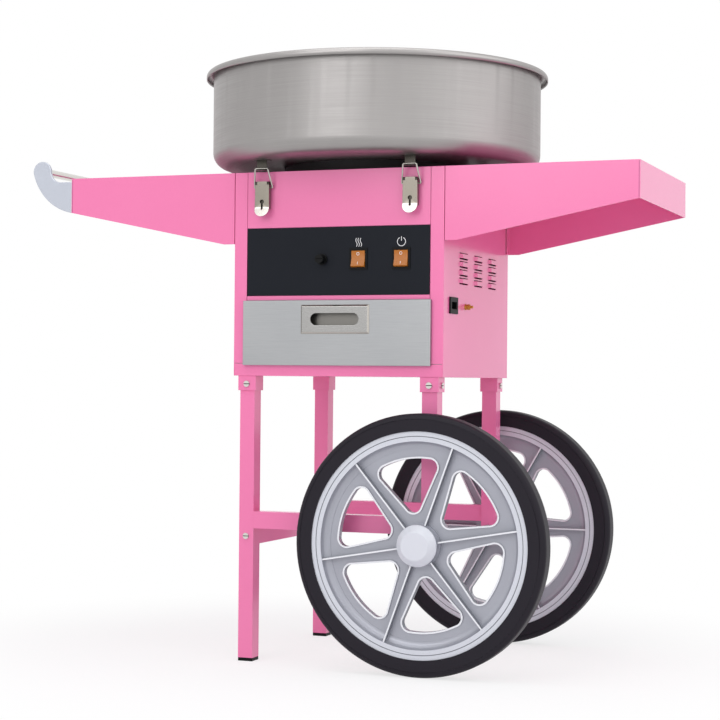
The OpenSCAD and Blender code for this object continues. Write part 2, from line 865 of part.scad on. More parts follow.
// Side outline of one bracket
module horn_shape() {
    translate(lobe) circle(lobe_r);
    difference() {
        intersection() {
            translate(arc_middle(horn_foot, lobe, horn_arc_r, lobe_r)) circle(horn_arc_r);
            translate(horn_foot) square([handle_reach, lobe.y - horn_foot.y]);
        }
        translate(throat) circle(throat_r);
        translate([-cut, -horn_drop]) square([throat.x + cut, lobe.y + horn_drop + cut]);
    }
}

// Moves a piece to the left shelf's upper end corner, with its X pointing away from the shelf
module at_handle() { translate([-half_w - left_shelf_l, 0, top_z]) mirror([1, 0, 0]) children(); }

// A round bar along Y through the brackets' round ends, reaching y to each side
module handle_rod(y, r) { translate([lobe.x, y, lobe.y]) rotate([90, 0, 0]) cylinder(h = 2 * y, r = r); }

module handle_brackets() {
    color("lightsteelblue") place() at_handle() difference() {
        both_y() towards_front(bracket_t - half_d, bracket_t) horn_shape();
        handle_rod(half_d - bracket_t + bar_seat, bar_d / 2 + snug);
    }
}

module handle_bar() {
    color("silver") place() at_handle() handle_rod(half_d - bracket_t + bar_seat - snug, bar_d / 2);
}

// Stand values
foot_t = 5;
foot_plug = 15;
right_leg_z = 165;
socket_w = leg_w + 2 * (socket_t + snug);
brace_t = 20;
brace_plug = 8;
screw_r = 2.4;
screw_head_r = 4.6;
screw_head_t = 2.4;
screw_l = 10;
screw_drop = 12;
screw_slot = 1.2;
axle_z = wheel_r;
axle_r = axle_d / 2;

// Moves a piece to the four legs, or to those on one side only
module at_legs(sides = [-1, 1]) {
    for (x = sides, y = [-1, 1]) translate([x * leg_x, y * leg_y, 0]) children();
}

// A square tube around the Z axis
module square_tube(w, t, z0, z1) {
    difference() {
        box([-w / 2, -w / 2, z0], [w / 2, w / 2, z1]);
        box([t - w / 2, t - w / 2, z0 - cut], [w / 2 - t, w / 2 - t, z1 + cut]);
    }
}

// Outward direction, in turns about Z, and place of every frame screw: sockets first, then braces
socket_screws = [for (x = [-1, 1], y = [-1, 1], along_x = [true, false])
    [along_x ? (x > 0 ? 0 : 180) : (y > 0 ? 90 : 270),
    [x * (leg_x + (along_x ? socket_w / 2 : 0)), y * (leg_y + (along_x ? 0 : socket_w / 2)),
    body_z - screw_drop]]];
brace_screws = [for (x = [-1, 1], y = [-1, 1]) [x > 0 ? 0 : 180, [x * (leg_x + leg_w / 2),
    y * (leg_y + (leg_w - brace_t) / 2), brace_z + brace_h / 2]]];
left_screws = [for (y = [-1, 1]) [y > 0 ? 90 : 270,
    [-leg_x, y * (leg_y + leg_w / 2), left_brace_z + brace_h / 2]]];

// Moves a piece drawn along +X out of the screwed face
module at_screws(list) { for (s = list) translate(s[1]) rotate([0, 0, s[0]]) children(); }

// A screw's hole, deep enough for every wall that it passes
module screw_holes(list, l) {
    at_screws(list) translate([-l, 0, 0]) rotate([0, 90, 0]) cylinder(h = l + cut, r = screw_r + snug);
}

// One pan head screw with a driver slot
module screw(l) {
    difference() {
        union() {
            rotate([0, 90, 0]) cylinder(h = screw_head_t, r = screw_head_r);
            translate([-l, 0, 0]) rotate([0, 90, 0]) cylinder(h = l, r = screw_r);
        }
        box([screw_head_t - screw_slot, -screw_head_r - cut, -screw_slot / 2],
            [screw_head_t + cut, screw_head_r + cut, screw_slot / 2]);
    }
}

module frame_screws() {
    color("silver") place() {
        at_screws(socket_screws) screw(screw_l);
        at_screws(brace_screws) screw(leg_w + brace_plug - cut);
        at_screws(left_screws) screw(leg_w + brace_plug - cut);
    }
}

// Holes that the screws need in the stand's tubes
module stand_holes() {
    screw_holes(socket_screws, screw_l + cut);
    screw_holes(brace_screws, leg_w + brace_plug);
    screw_holes(left_screws, leg_w + brace_plug);
}

module left_legs() {
    color("hotpink") place() difference() {
        at_legs([-1]) square_tube(leg_w, tube_t, foot_t, body_z);
        stand_holes();
    }
}

module right_legs() {
    color("hotpink") place() difference() {
        at_legs([1]) square_tube(leg_w, tube_t, right_leg_z, body_z);
        stand_holes();
        axle_rod(half_d, axle_r + snug);
    }
}

module leg_sockets() {
    color("hotpink") place() difference() {
        at_legs() square_tube(socket_w, socket_t, body_z - socket_h, body_z);
        stand_holes();
    }
}

module foot_caps() {
    color("black") place() at_legs([-1]) {
        box([-leg_w / 2, -leg_w / 2, 0], [leg_w / 2, leg_w / 2, foot_t]);
        box([tube_t + snug - leg_w / 2, tube_t + snug - leg_w / 2, 0], [leg_w / 2 - tube_t - snug,
            leg_w / 2 - tube_t - snug, foot_t + foot_plug]);
    }
}

// A tube along X between two legs, with solid ends for the screws
module brace_tube(half_l, t) {
    difference() {
        box([-half_l, -t / 2, 0], [half_l, t / 2, brace_h]);
        box([brace_plug - half_l, tube_t - t / 2, tube_t],
            [half_l - brace_plug, t / 2 - tube_t, brace_h - tube_t]);
    }
}

// The front or rear brace, flush with the outer faces of its legs
module cross_brace(side) {
    color("hotpink") place() difference() {
        translate([0, side * (leg_y + (leg_w - brace_t) / 2), brace_z])
            brace_tube(leg_x - leg_w / 2, brace_t);
        stand_holes();
    }
}

module brace_front() { cross_brace(-1); }

module brace_rear() { cross_brace(1); }

module brace_left() {
    color("hotpink") place() difference() {
        translate([-leg_x, 0, left_brace_z]) rotate([0, 0, 90]) brace_tube(leg_y - leg_w / 2, leg_w);
        stand_holes();
    }
}

// Wheel values: radii from the axle, and distances along it from the wheel's middle plane
tyre_round = 8;
rim_out_r = wheel_r - tyre_h;
rim_half = tyre_w / 2 - 2;
cove_r = 11;
web_step = 0.6;
web_half = rim_half - cove_r - web_step;
web_out_r = rim_out_r - 25;
groove_r = rim_out_r - 7;
groove_w = 1.2;
groove_d = 0.7;
hub_r = 31;
hub_out = 8;
hub_in = 20;
nut_room_r = 13;
nut_room_d = 7;
axle_nut_r = 10;
axle_nut_t = 6;
hub_cap_t = 22;
hub_cap_stem_r = 26.5;
hub_cap_stem_h = 9;
hub_cap_edge = 3;
hub_cap_face_r = 20;
hub_plug_r = 21;
hub_plug_l = 5;
window_r = 12;
window_lip_w = 2.5;
window_lip_h = 2;
// Share of a corner's radius at which the straight sides meet it, and the outer arc's step inside it
window_meet = 0.99;
window_step = 0.1;
window_tip_r = 58;
window_out_r = web_out_r - 13;
spoke_end_w = 26;
fin_t = 2.2;
fin_h = 10.4;
spacer_r = 11;
leg_face_y = leg_y + leg_w / 2;

// Corner middles of one window, drawn about the X axis: the tip near the hub and the two at the rim
window_turn = 180 / spokes - asin((spoke_end_w / 2 + window_r) / (window_out_r - window_r));
window_tip = [window_tip_r, 0];
window_side = (window_out_r - window_r) * [cos(window_turn), sin(window_turn)];

// One window with rounded corners, grown by the given width
module window_shape(grow) {
    r = window_r + grow;
    out_r = window_out_r + grow - window_step;
    along = (window_side - window_tip) / norm(window_side - window_tip);
    side = window_meet * r * [-along.y, along.x];
    for (s = [0, 1]) mirror([0, s]) {
        translate(window_side) circle(r);
        polygon([window_tip, window_tip + side, window_side + side, window_side]);
    }
    translate(window_tip) circle(r);
    polygon([window_tip, window_side, [window_side.x, -window_side.y]]);
    intersection() {
        circle(out_r);
        polygon([[0, 0], 2 * window_side, 2 * [window_side.x, -window_side.y]]);
        translate([window_side.x, -out_r]) square([out_r, 2 * out_r]);
    }
}

// Half spoke turns, where the windows lie
module at_windows() { for (i = [0 : spokes - 1]) rotate([0, 0, (i + 1 / 2) * 360 / spokes]) children(); }

// The rim's section: a band with a cove and a groove on each face
module rim_section() {
    difference() {
        translate([web_out_r, -rim_half]) square([rim_out_r - web_out_r, 2 * rim_half]);
        for (s = [-1, 1]) {
            translate([web_out_r, s * rim_half]) circle(cove_r);
            translate([groove_r - groove_w / 2, s * rim_half - groove_d]) square([groove_w, 2 * groove_d]);
        }
    }
}

// One wheel, with its axis along Z and its outer side up
module wheel() {
    difference() {
        union() {
            rotate_extrude() rim_section();
            difference() {
                union() {
                    translate([0, 0, -web_half]) cylinder(h = 2 * web_half, r = web_out_r + cut);
                    at_windows() translate([0, 0, -web_half - window_lip_h])
                        linear_extrude(2 * (web_half + window_lip_h)) window_shape(window_lip_w);
                    for (i = [0 : spokes - 1]) rotate([0, 0, i * 360 / spokes])
                        translate([hub_r - cut, -fin_t / 2, -web_half - fin_h])
                            cube([web_out_r + cove_r - hub_r + 2 * cut, fin_t, 2 * (web_half + fin_h)]);
                }
                at_windows() translate([0, 0, -rim_half - cut])
                    linear_extrude(2 * (rim_half + cut)) window_shape(0);
            }
            translate([0, 0, -hub_in]) cylinder(h = hub_in + hub_out, r = hub_r);
        }
        translate([0, 0, -hub_in - cut]) cylinder(h = hub_in + hub_out + 2 * cut, r = axle_r + running);
        translate([0, 0, hub_out - hub_plug_l - nut_room_d])
            cylinder(h = nut_room_d + hub_plug_l + cut, r = nut_room_r);
        translate([0, 0, hub_out - hub_plug_l]) cylinder(h = hub_plug_l + cut, r = hub_plug_r + snug);
    }
}

// One tyre around the wheel's rim
module tyre() {
    half = tyre_w / 2;
    rotate_extrude() difference() {
        union() {
            translate([rim_out_r, -half]) square([tyre_h - tyre_round, tyre_w]);
            translate([rim_out_r, tyre_round - half]) square([tyre_h, tyre_w - 2 * tyre_round]);
            for (s = [-1, 1]) translate([wheel_r - tyre_round, s * (half - tyre_round)]) circle(tyre_round);
        }
        for (s = [-1, 1]) translate([wheel_r - tyre_round, s * half]) circle(groove_d);
    }
}

// One hub cap with a bevelled edge, plugged into the hub
module hub_cap() {
    rotate_extrude() difference() {
        union() {
            translate([0, hub_out]) polygon([[0, 0], [hub_cap_stem_r, 0], [hub_cap_stem_r, hub_cap_stem_h],
                [hub_cap_r, hub_cap_stem_h], [hub_cap_r, hub_cap_stem_h + hub_cap_edge],
                [hub_cap_face_r, hub_cap_t], [0, hub_cap_t]]);
            translate([0, hub_out - hub_plug_l]) square([hub_plug_r, hub_plug_l]);
        }
        translate([0, hub_out - hub_plug_l - cut]) square([nut_room_r, hub_plug_l + cut]);
    }
}

// Moves a wheel's piece to the front or rear end of the axle
module at_wheel(rear) {
    translate([leg_x, rear ? wheel_y : -wheel_y, axle_z]) rotate([90, 0, rear ? 180 : 0])
        rotate([0, 0, rear ? rear_wheel_turn : front_wheel_turn]) children();
}

// A round rod along the axle's line, reaching y to each side
module axle_rod(y, r) { translate([leg_x, y, axle_z]) rotate([90, 0, 0]) cylinder(h = 2 * y, r = r); }

module axle() { color("silver") place() axle_rod(wheel_y + hub_out - hub_plug_l, axle_r); }

// A round collar on the axle at each end, between two distances from the cabinet's middle
module axle_collars(y0, y1, r, sides) {
    both_y() translate([leg_x, y1, axle_z]) rotate([90, 0, 0]) difference() {
        cylinder(h = y1 - y0, r = r, $fn = sides);
        translate([0, 0, -cut]) cylinder(h = y1 - y0 + 2 * cut, r = axle_r);
    }
}

module axle_spacers() {
    color("silver") place() axle_collars(leg_face_y, wheel_y - hub_in - gap, spacer_r, $fn);
}

module axle_nuts() {
    low_y = wheel_y + hub_out - hub_plug_l - nut_room_d + gap;
    color("silver") place() axle_collars(low_y, low_y + axle_nut_t, axle_nut_r, 6);
}

module front_wheel() { color("lightgray") place() at_wheel(false) wheel(); }

module front_tyre() { color("dimgray") place() at_wheel(false) tyre(); }

module front_hub_cap() { color("lightgray") place() at_wheel(false) hub_cap(); }

module rear_wheel() { color("lightgray") place() at_wheel(true) wheel(); }

module rear_tyre() { color("dimgray") place() at_wheel(true) tyre(); }

module rear_hub_cap() { color("lightgray") place() at_wheel(true) hub_cap(); }

side_panel_left();
side_panel_right();
front_panel();
back_panel();
top_plate();
base_pan();
control_panel();
switch_bezels();
heat_rocker();
power_rocker();
fuse_holder();
fuse_cap();
power_inlet();
bonding_stud();
drawer_runners();
drawer_front();
drawer_tray();
drawer_pull();
bowl_seat();
bowl();
bowl_keepers();
latch_bases();
lever_front_left();
lever_front_right();
lever_rear_left();
lever_rear_right();
bail_front_left();
bail_front_right();
bail_rear_left();
bail_rear_right();
motor();
motor_mount();
brush_holder();
spinner_shaft();
slip_rings();
spinner_base();
heater_band();
spinner_screen();
spinner_cap();
shelf_left();
shelf_right();
handle_brackets();
handle_bar();
left_legs();
right_legs();
leg_sockets();
foot_caps();
brace_front();
brace_rear();
brace_left();
frame_screws();
axle();
axle_spacers();
axle_nuts();
front_wheel();
front_tyre();
front_hub_cap();
rear_wheel();
rear_tyre();
rear_hub_cap();
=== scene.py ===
"""Dresses the cotton candy cart: finishes, rounded edges, turned pieces, marks, light and camera."""
from __future__ import annotations

import json
import logging
import math
from dataclasses import dataclass, field, replace
from enum import Enum, IntEnum

import bmesh
import bpy
from mathutils import Matrix, Vector


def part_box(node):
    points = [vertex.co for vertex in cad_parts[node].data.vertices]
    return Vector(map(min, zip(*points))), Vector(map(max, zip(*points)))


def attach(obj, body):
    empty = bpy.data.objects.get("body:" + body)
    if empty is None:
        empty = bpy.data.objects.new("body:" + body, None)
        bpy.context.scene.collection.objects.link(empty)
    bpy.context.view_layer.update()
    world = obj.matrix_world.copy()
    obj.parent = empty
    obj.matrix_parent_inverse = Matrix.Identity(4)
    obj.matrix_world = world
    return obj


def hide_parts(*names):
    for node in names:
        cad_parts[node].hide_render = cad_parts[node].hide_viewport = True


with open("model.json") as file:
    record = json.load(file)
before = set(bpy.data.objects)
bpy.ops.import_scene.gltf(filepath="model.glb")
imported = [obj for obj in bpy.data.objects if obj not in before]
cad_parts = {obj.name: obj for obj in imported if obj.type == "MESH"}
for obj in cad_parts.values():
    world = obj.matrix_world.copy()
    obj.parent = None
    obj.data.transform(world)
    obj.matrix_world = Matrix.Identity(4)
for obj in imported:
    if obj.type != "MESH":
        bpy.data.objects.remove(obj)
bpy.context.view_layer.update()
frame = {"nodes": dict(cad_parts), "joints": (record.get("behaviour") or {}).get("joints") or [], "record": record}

LOG = logging.getLogger("cart")

# Lengths in metres: points closer than WELD are one, and points within NEAR of a plane lie on it. A turned
# grain runs straight within AXIS_R of its axis.
WELD = 2e-6
NEAR = 0.0001
AXIS_R = 0.001

# Faces that meet at less than FLAT are one, and edges that turn by more than CREASE are sharp.
FLAT = math.radians(0.5)
CREASE = math.radians(32)
EVEN_WEIGHT = 100

# Steps of round forms.
ROUND_STEPS = 2
POST_STEPS = 24
RING_STEPS = 36
WAVE_STEPS = 16
WIRE_ROUND = 5
WIRE_SMOOTH = 6

# Values that all finishes share, and the colour sockets of a Mix node.
WHITE = (1.0, 1.0, 1.0, 1.0)
COAT_ROUGHNESS = 0.12
BROAD_DETAIL = 3.0
FINE_DETAIL = 4.0
NOISE_LOW = 0.3
NOISE_HIGH = 0.7
MIX_FIRST = 6
MIX_SECOND = 7
MIX_RESULT = 2

BODY_OF: dict[str, str] = {
    node: body for body, nodes in frame["record"]["behaviour"]["bodies"].items() for node in nodes
}


def tone(code: int) -> tuple[float, float, float, float]:
    """Turns a colour as it shows into the linear colour of a shader.

    Args:
        code: The colour as 0xRRGGBB.

    Returns:
        Linear red, green, blue and an alpha of one.
    """
    parts = [(code >> shift & 255) / 255 for shift in (16, 8, 0)]
    linear = [p / 12.92 if p <= 0.04045 else ((p + 0.055) / 1.055) ** 2.4 for p in parts]
    return (*linear, 1.0)


class Graph:
    """Adds and joins the nodes of one shader tree."""

    def __init__(self, tree: bpy.types.NodeTree) -> None:
        """Keeps the tree that the nodes go into."""
        self.tree = tree

    def add(self, kind: str, **settings: object) -> bpy.types.Node:
        """Adds a node.

        Args:
            kind: The node's type name.
            settings: Properties to set on it.

        Returns:
            The new node.
        """
        node = self.tree.nodes.new(kind)
        for name, value in settings.items():
            setattr(node, name, value)
        return node

    def join(self, source: bpy.types.NodeSocket, target: bpy.types.NodeSocket) -> None:
        """Joins an output to an input."""
        self.tree.links.new(source, target)

    @staticmethod
    def fill(node: bpy.types.Node, values: dict[str | int, object]) -> None:
        """Sets inputs of a node, by name or place."""
        for place, value in values.items():
            node.inputs[place].default_value = value

    def math(self, operation: str, first: object, second: object = None) -> bpy.types.NodeSocket:
        """Adds a math node.

        Args:
            operation: The operation's name.
            first: A socket or a number.
            second: A socket or a number, where the operation takes two.

        Returns:
            The result's socket.
        """
        node = self.add("ShaderNodeMath", operation=operation)
        for place, value in enumerate((first, second)):
            if isinstance(value, bpy.types.NodeSocket):
                self.join(value, node.inputs[place])
            elif value is not None:
                node.inputs[place].default_value = value
        return node.outputs[0]

    def noise(
        self, scale: bpy.types.NodeSocket, detail: float, vector: bpy.types.NodeSocket,
    ) -> bpy.types.NodeSocket:
        """Adds a noise texture.

        Args:
            scale: How fine it is.
            detail: How many finer layers it has.
            vector: Where it is read.

        Returns:
            The noise value's socket.
        """
        node = self.add("ShaderNodeTexNoise")
        self.fill(node, {"Detail": detail})
        self.join(scale, node.inputs["Scale"])
        self.join(vector, node.inputs["Vector"])
        return node.outputs["Fac"]


class Grain(Enum):
    """How a surface's fine pattern runs."""

    SPECKLE = "speckle"
    BRUSHED = "brushed"
    TURNED = "turned"


class Effects:
    """The shader node groups that the finishes share, each built once."""

    def __init__(self) -> None:
        """Starts with no group built."""
        self.built: dict[Grain, bpy.types.NodeTree] = {}

    def group(self, grain: Grain) -> bpy.types.NodeTree:
        """Gives the group of one grain.

        Args:
            grain: Which pattern it makes.

        Returns:
            The group, with the outputs Broad and Fine.
        """
        if grain not in self.built:
            self.built[grain] = self.build(grain)
        return self.built[grain]

    def build(self, grain: Grain) -> bpy.types.NodeTree:
        """Builds the group of one grain.

        Args:
            grain: Which pattern it makes.

        Returns:
            The new group.
        """
        tree = bpy.data.node_groups.new(f"{grain.value}_grain", "ShaderNodeTree")
        for name in ("Broad Scale", "Fine Scale"):
            tree.interface.new_socket(name, in_out="INPUT", socket_type="NodeSocketFloat")
        for name in ("Centre", "Stretch"):
            tree.interface.new_socket(name, in_out="INPUT", socket_type="NodeSocketVector")
        for name in ("Broad", "Fine"):
            tree.interface.new_socket(name, in_out="OUTPUT", socket_type="NodeSocketFloat")
        graph = Graph(tree)
        inputs = graph.add("NodeGroupInput").outputs
        outputs = graph.add("NodeGroupOutput").inputs
        place = graph.add("ShaderNodeTexCoord").outputs["Object"]
        centred = graph.add("ShaderNodeVectorMath", operation="SUBTRACT")
        graph.join(place, centred.inputs[0])
        graph.join(inputs["Centre"], centred.inputs[1])
        place = centred.outputs[0]
        if grain is Grain.TURNED:
            place = self.around(graph, place)
        stretched = graph.add("ShaderNodeVectorMath", operation="MULTIPLY")
        graph.join(place, stretched.inputs[0])
        graph.join(inputs["Stretch"], stretched.inputs[1])
        broad = graph.noise(inputs["Broad Scale"], BROAD_DETAIL, place)
        fine = graph.noise(inputs["Fine Scale"], FINE_DETAIL, stretched.outputs[0])
        graph.join(broad, outputs["Broad"])
        graph.join(fine, outputs["Fine"])
        return tree

    @staticmethod
    def around(graph: Graph, place: bpy.types.NodeSocket) -> bpy.types.NodeSocket:
        """Gives coordinates that run round the vertical axis without a seam.

        Args:
            graph: The group's nodes.
            place: The place measured from the axis.

        Returns:
            The direction round the axis, and height plus radius as the third part.
        """
        parts = graph.add("ShaderNodeSeparateXYZ")
        graph.join(place, parts.inputs[0])
        squares = [graph.math("MULTIPLY", parts.outputs[i], parts.outputs[i]) for i in range(2)]
        radius = graph.math("SQRT", graph.math("ADD", *squares))
        safe = graph.math("MAXIMUM", radius, AXIS_R)
        joined = graph.add("ShaderNodeCombineXYZ")
        for i in range(2):
            graph.join(graph.math("DIVIDE", parts.outputs[i], safe), joined.inputs[i])
        graph.join(graph.math("ADD", parts.outputs[2], radius), joined.inputs[2])
        return joined.outputs[0]


EFFECTS = Effects()


@dataclass(frozen=True)
class Finish:
    """One finish: its colours, gloss and grain, and the record's slot that it belongs to."""

    name: str
    slot: str
    colour: int
    shade: int
    gloss: tuple[float, float]
    metallic: float = 0.0
    coat: float = 0.0
    grain: Grain = Grain.SPECKLE
    broad_scale: float = 14.0
    fine_scale: float = 900.0
    stretch: tuple[float, float, float] = (1.0, 1.0, 1.0)
    centre: tuple[float, float, float] = (0.0, 0.0, 0.0)
    ripple: float = 0.1
    depth: float = 0.0002
    specular: float = 0.5

    def material(self) -> bpy.types.Material:
        """Gives the finish's material, built on first use."""
        return bpy.data.materials.get(self.name) or self.build()

    def build(self) -> bpy.types.Material:
        """Builds the material from the finish's grain.

        Returns:
            The new material.
        """
        material = bpy.data.materials.new(self.name)
        material.use_nodes = True
        graph = Graph(material.node_tree)
        shader = material.node_tree.nodes["Principled BSDF"]
        graph.fill(shader, {
            "Metallic": self.metallic, "Coat Weight": self.coat, "Coat Roughness": COAT_ROUGHNESS,
            "Specular IOR Level": self.specular,
        })
        effect = graph.add("ShaderNodeGroup", node_tree=EFFECTS.group(self.grain))
        graph.fill(effect, {
            "Broad Scale": self.broad_scale, "Fine Scale": self.fine_scale, "Stretch": self.stretch,
            "Centre": self.centre,
        })
        mix = graph.add("ShaderNodeMix", data_type="RGBA")
        graph.fill(mix, {MIX_FIRST: tone(self.colour), MIX_SECOND: tone(self.shade)})
        both = graph.math("ADD", effect.outputs["Broad"], effect.outputs["Fine"])
        graph.join(graph.math("MULTIPLY", both, 0.5), mix.inputs[0])
        graph.join(mix.outputs[MIX_RESULT], shader.inputs["Base Color"])
        spread = graph.add("ShaderNodeMapRange")
        graph.fill(spread, {
            "From Min": NOISE_LOW, "From Max": NOISE_HIGH, "To Min": self.gloss[0], "To Max": self.gloss[1],
        })
        graph.join(effect.outputs["Fine"], spread.inputs["Value"])
        graph.join(spread.outputs["Result"], shader.inputs["Roughness"])
        bump = graph.add("ShaderNodeBump")
        graph.fill(bump, {"Strength": self.ripple, "Distance": self.depth})
        graph.join(effect.outputs["Fine"], bump.inputs["Height"])
        graph.join(bump.outputs["Normal"], shader.inputs["Normal"])
        return material


CENTRE_X = (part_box("bowl")[0].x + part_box("bowl")[1].x) / 2

PAINT = Finish(
    "pink_powder_coat", "pink_paint", 0xF483B5, 0xF07AAE, (0.2, 0.27), coat=0.25, fine_scale=420.0,
    ripple=0.015, specular=0.4,
)
# Painted shadow: the dark pink of the thin strips at the shelves' outer corners.
SEAM_SHADOW = Finish("painted_seam_shadow", "pink_paint", 0xB04A7E, 0xA24072, (0.4, 0.5))
OVERLAY = Finish(
    "dark_panel_film", "control_panel", 0x161920, 0x1B1E25, (0.42, 0.52), fine_scale=1600.0, specular=0.12,
)
BLACK = Finish(
    "black_moulding", "black_plastic", 0x08090A, 0x0C0D0E, (0.4, 0.54), fine_scale=1500.0, specular=0.15,
)
AMBER = Finish(
    "amber_moulding", "amber_rocker", 0xBA7229, 0xAA621C, (0.24, 0.34), coat=0.1, ripple=0.02, specular=0.3,
)
BRASS = Finish("turned_brass", "brass", 0xD2A951, 0xB98E3C, (0.18, 0.34), metallic=1.0)
SEAT = Finish("seat_gasket", "seat_rubber", 0x1C1C1E, 0x262628, (0.6, 0.8), fine_scale=1200.0, ripple=0.2)
SHEET = Finish(
    "brushed_sheet", "brushed_stainless", 0xBABBBC, 0x8E9094, (0.28, 0.42), metallic=1.0,
    grain=Grain.BRUSHED, broad_scale=6.0, fine_scale=40.0, stretch=(1.0, 60.0, 60.0), ripple=0.06,
    depth=0.0001,
)
PLATE = replace(
    SHEET, name="polished_pull", colour=0xB0AFAD, shade=0xA09F9E, gloss=(0.2, 0.3), ripple=0.03,
)
# A darker copy of the plate: painted shade for the pull's pocket.
POCKET_SHADE = replace(
    PLATE, name="shaded_pocket", colour=0x84827E, shade=0x75736F, gloss=(0.3, 0.42),
    stretch=(60.0, 60.0, 1.0),
)
SPUN = Finish(
    "spun_bowl_steel", "brushed_stainless", 0xA9A6A5, 0x979493, (0.36, 0.5), metallic=1.0,
    grain=Grain.TURNED, broad_scale=5.0, fine_scale=2.2, stretch=(1.0, 1.0, 420.0),
    centre=(CENTRE_X, 0.0, 0.0), ripple=0.05, depth=0.0001,
)
TYRE = Finish(
    "tyre_compound", "tyre_rubber", 0x221F25, 0x28252D, (0.4, 0.54), fine_scale=700.0, specular=0.14,
)
WHEEL = Finish(
    "silver_moulding", "wheel_grey", 0xB1B3BC, 0xA1A3AD, (0.3, 0.44), metallic=0.35, ripple=0.2,
)
# A lighter copy of the wheel's moulding for the rim band: painted light.
LIT_RIM = Finish("lit_rim_band", "wheel_grey", 0xD8DBE3, 0xCED1DA, (0.26, 0.38), metallic=0.25, fine_scale=1300.0)
# A bright copy of the wheel's moulding: a painted highlight on fin tops, lip tops and window walls.
EDGE_HIGHLIGHT = Finish(
    "painted_edge_highlight", "wheel_grey", 0xF2F4F8, 0xE8EAF0, (0.2, 0.3), metallic=0.2, fine_scale=1300.0,
)
# A darker copy of the wheel's moulding: painted shade on fin sides and in the rim's groove.
RECESS_SHADE = Finish("painted_recess_shade", "wheel_grey", 0x8A8D95, 0x7B7E86, (0.4, 0.54), metallic=0.3)
CAST = Finish("silver_casting", "cast_grey", 0xC8CDD7, 0xBBC0CB, (0.26, 0.38), metallic=0.35, coat=0.2)
NICKEL = Finish("nickel_polish", "bright_nickel", 0xDFDDD8, 0xCFCDC8, (0.12, 0.22), metallic=1.0, ripple=0.03)
# The bail's own bright nickel, also laid on the drawer pull's bevel and the levers' bent tips as a painted
# highlight.
WIRE_AND_HIGHLIGHT = Finish("bail_wire_and_highlight", "bright_nickel", 0xBEBAB4, 0xACA8A2, (0.16, 0.26), metallic=1.0, ripple=0.03)
SATIN = Finish("satin_nickel", "bright_nickel", 0x928C82, 0x807A71, (0.26, 0.38), metallic=1.0, ripple=0.05)
# A darker copy of the nickel: painted shade, for the latch bases, bowl keepers, lever bosses and the plate behind
# each keyhole.
SHADED_NICKEL = Finish(
    "shaded_nickel", "bright_nickel", 0x4E4B46, 0x3C3935, (0.24, 0.36), metallic=1.0, ripple=0.05,
)
HUB_CAP = Finish("hub_cap_moulding", "wheel_grey", 0xDCDFE7, 0xD4D7E0, (0.28, 0.38), fine_scale=1300.0)
MOTOR = Finish("motor_enamel", "motor_case", 0x40444A, 0x4A4E55, (0.35, 0.5))
RESIN = Finish("brush_moulding", "brush_resin", 0x8A5A40, 0x774A33, (0.4, 0.55))
ALLOY = replace(
    SPUN, name="turned_aluminium", slot="spun_aluminium", colour=0xD4D4D6, shade=0xBDBDC0, gloss=(0.2, 0.34),
    fine_scale=2.4, stretch=(1.0, 1.0, 700.0), ripple=0.08,
)
HEATER = Finish("heater_ribbon", "heater_alloy", 0x8F7F78, 0x6E6059, (0.3, 0.5), metallic=1.0)
ZINC = Finish("zinc_plate", "zinc_steel", 0xC5C6C8, 0xAEB0B4, (0.26, 0.4), metallic=1.0, broad_scale=40.0)
PRINT = Finish("white_print", "control_panel", 0xF2F2F2, 0xE6E6E8, (0.4, 0.5))


def show(
    piece: bpy.types.Object, finish: Finish, body: str, *nodes: str, others: tuple[Finish, ...] = (),
) -> None:
    """Gives a piece its finishes and its place in the cart.

    Args:
        piece: The finished object.
        finish: Its finish.
        body: The body that it rides on.
        nodes: The solids that it stands for.
        others: More finishes, for the faces marked with their places.
    """
    for each in (finish, *others):
        piece.data.materials.append(each.material())
    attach(piece, body)
    if nodes:
        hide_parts(*nodes)
    LOG.info("%s rides on %s", piece.name, body)


def piece_of(name: str, mesh: bmesh.types.BMesh) -> bpy.types.Object:
    """Turns a working mesh into an object with smooth faces and sharp creases.

    Args:
        name: The object's name.
        mesh: The working mesh, which is freed.

    Returns:
        The new object.
    """
    data = bpy.data.meshes.new(name)
    mesh.to_mesh(data)
    mesh.free()
    data.shade_smooth()
    data.set_sharp_from_angle(angle=CREASE)
    piece = bpy.data.objects.new(name, data)
    bpy.context.scene.collection.objects.link(piece)
    even = piece.modifiers.new("even_shading", "WEIGHTED_NORMAL")
    even.keep_sharp = True
    even.weight = EVEN_WEIGHT
    return piece


def solid_of(node: str) -> bmesh.types.BMesh:
    """Copies a solid's mesh, merged and with its flat faces joined.

    Args:
        node: The solid's name.

    Returns:
        The working mesh.
    """
    mesh = bmesh.new()
    mesh.from_mesh(frame["nodes"][node].data)
    bmesh.ops.remove_doubles(mesh, verts=mesh.verts, dist=WELD)
    bmesh.ops.dissolve_limit(mesh, angle_limit=FLAT, verts=mesh.verts, edges=mesh.edges)
    return mesh


def rounded(mesh: bmesh.types.BMesh, width: float) -> None:
    """Rounds every sharp edge of a working mesh.

    Args:
        mesh: The working mesh.
        width: How far the rounding reaches on each side.
    """
    sharp = [e for e in mesh.edges if len(e.link_faces) == 2 and e.calc_face_angle(0.0) > CREASE]
    bmesh.ops.bevel(
        mesh, geom=sharp, offset=width, offset_type="OFFSET", segments=ROUND_STEPS, profile=0.5,
        affect="EDGES", clamp_overlap=True, material=-1,
    )


def soften(node: str, finish: Finish, width: float) -> None:
    """Stands a copy of a solid with rounded edges in its place.

    Args:
        node: The solid's name.
        finish: Its finish.
        width: The rounding's reach.
    """
    mesh = solid_of(node)
    rounded(mesh, width)
    show(piece_of(f"{node}_rounded", mesh), finish, BODY_OF[node], node)


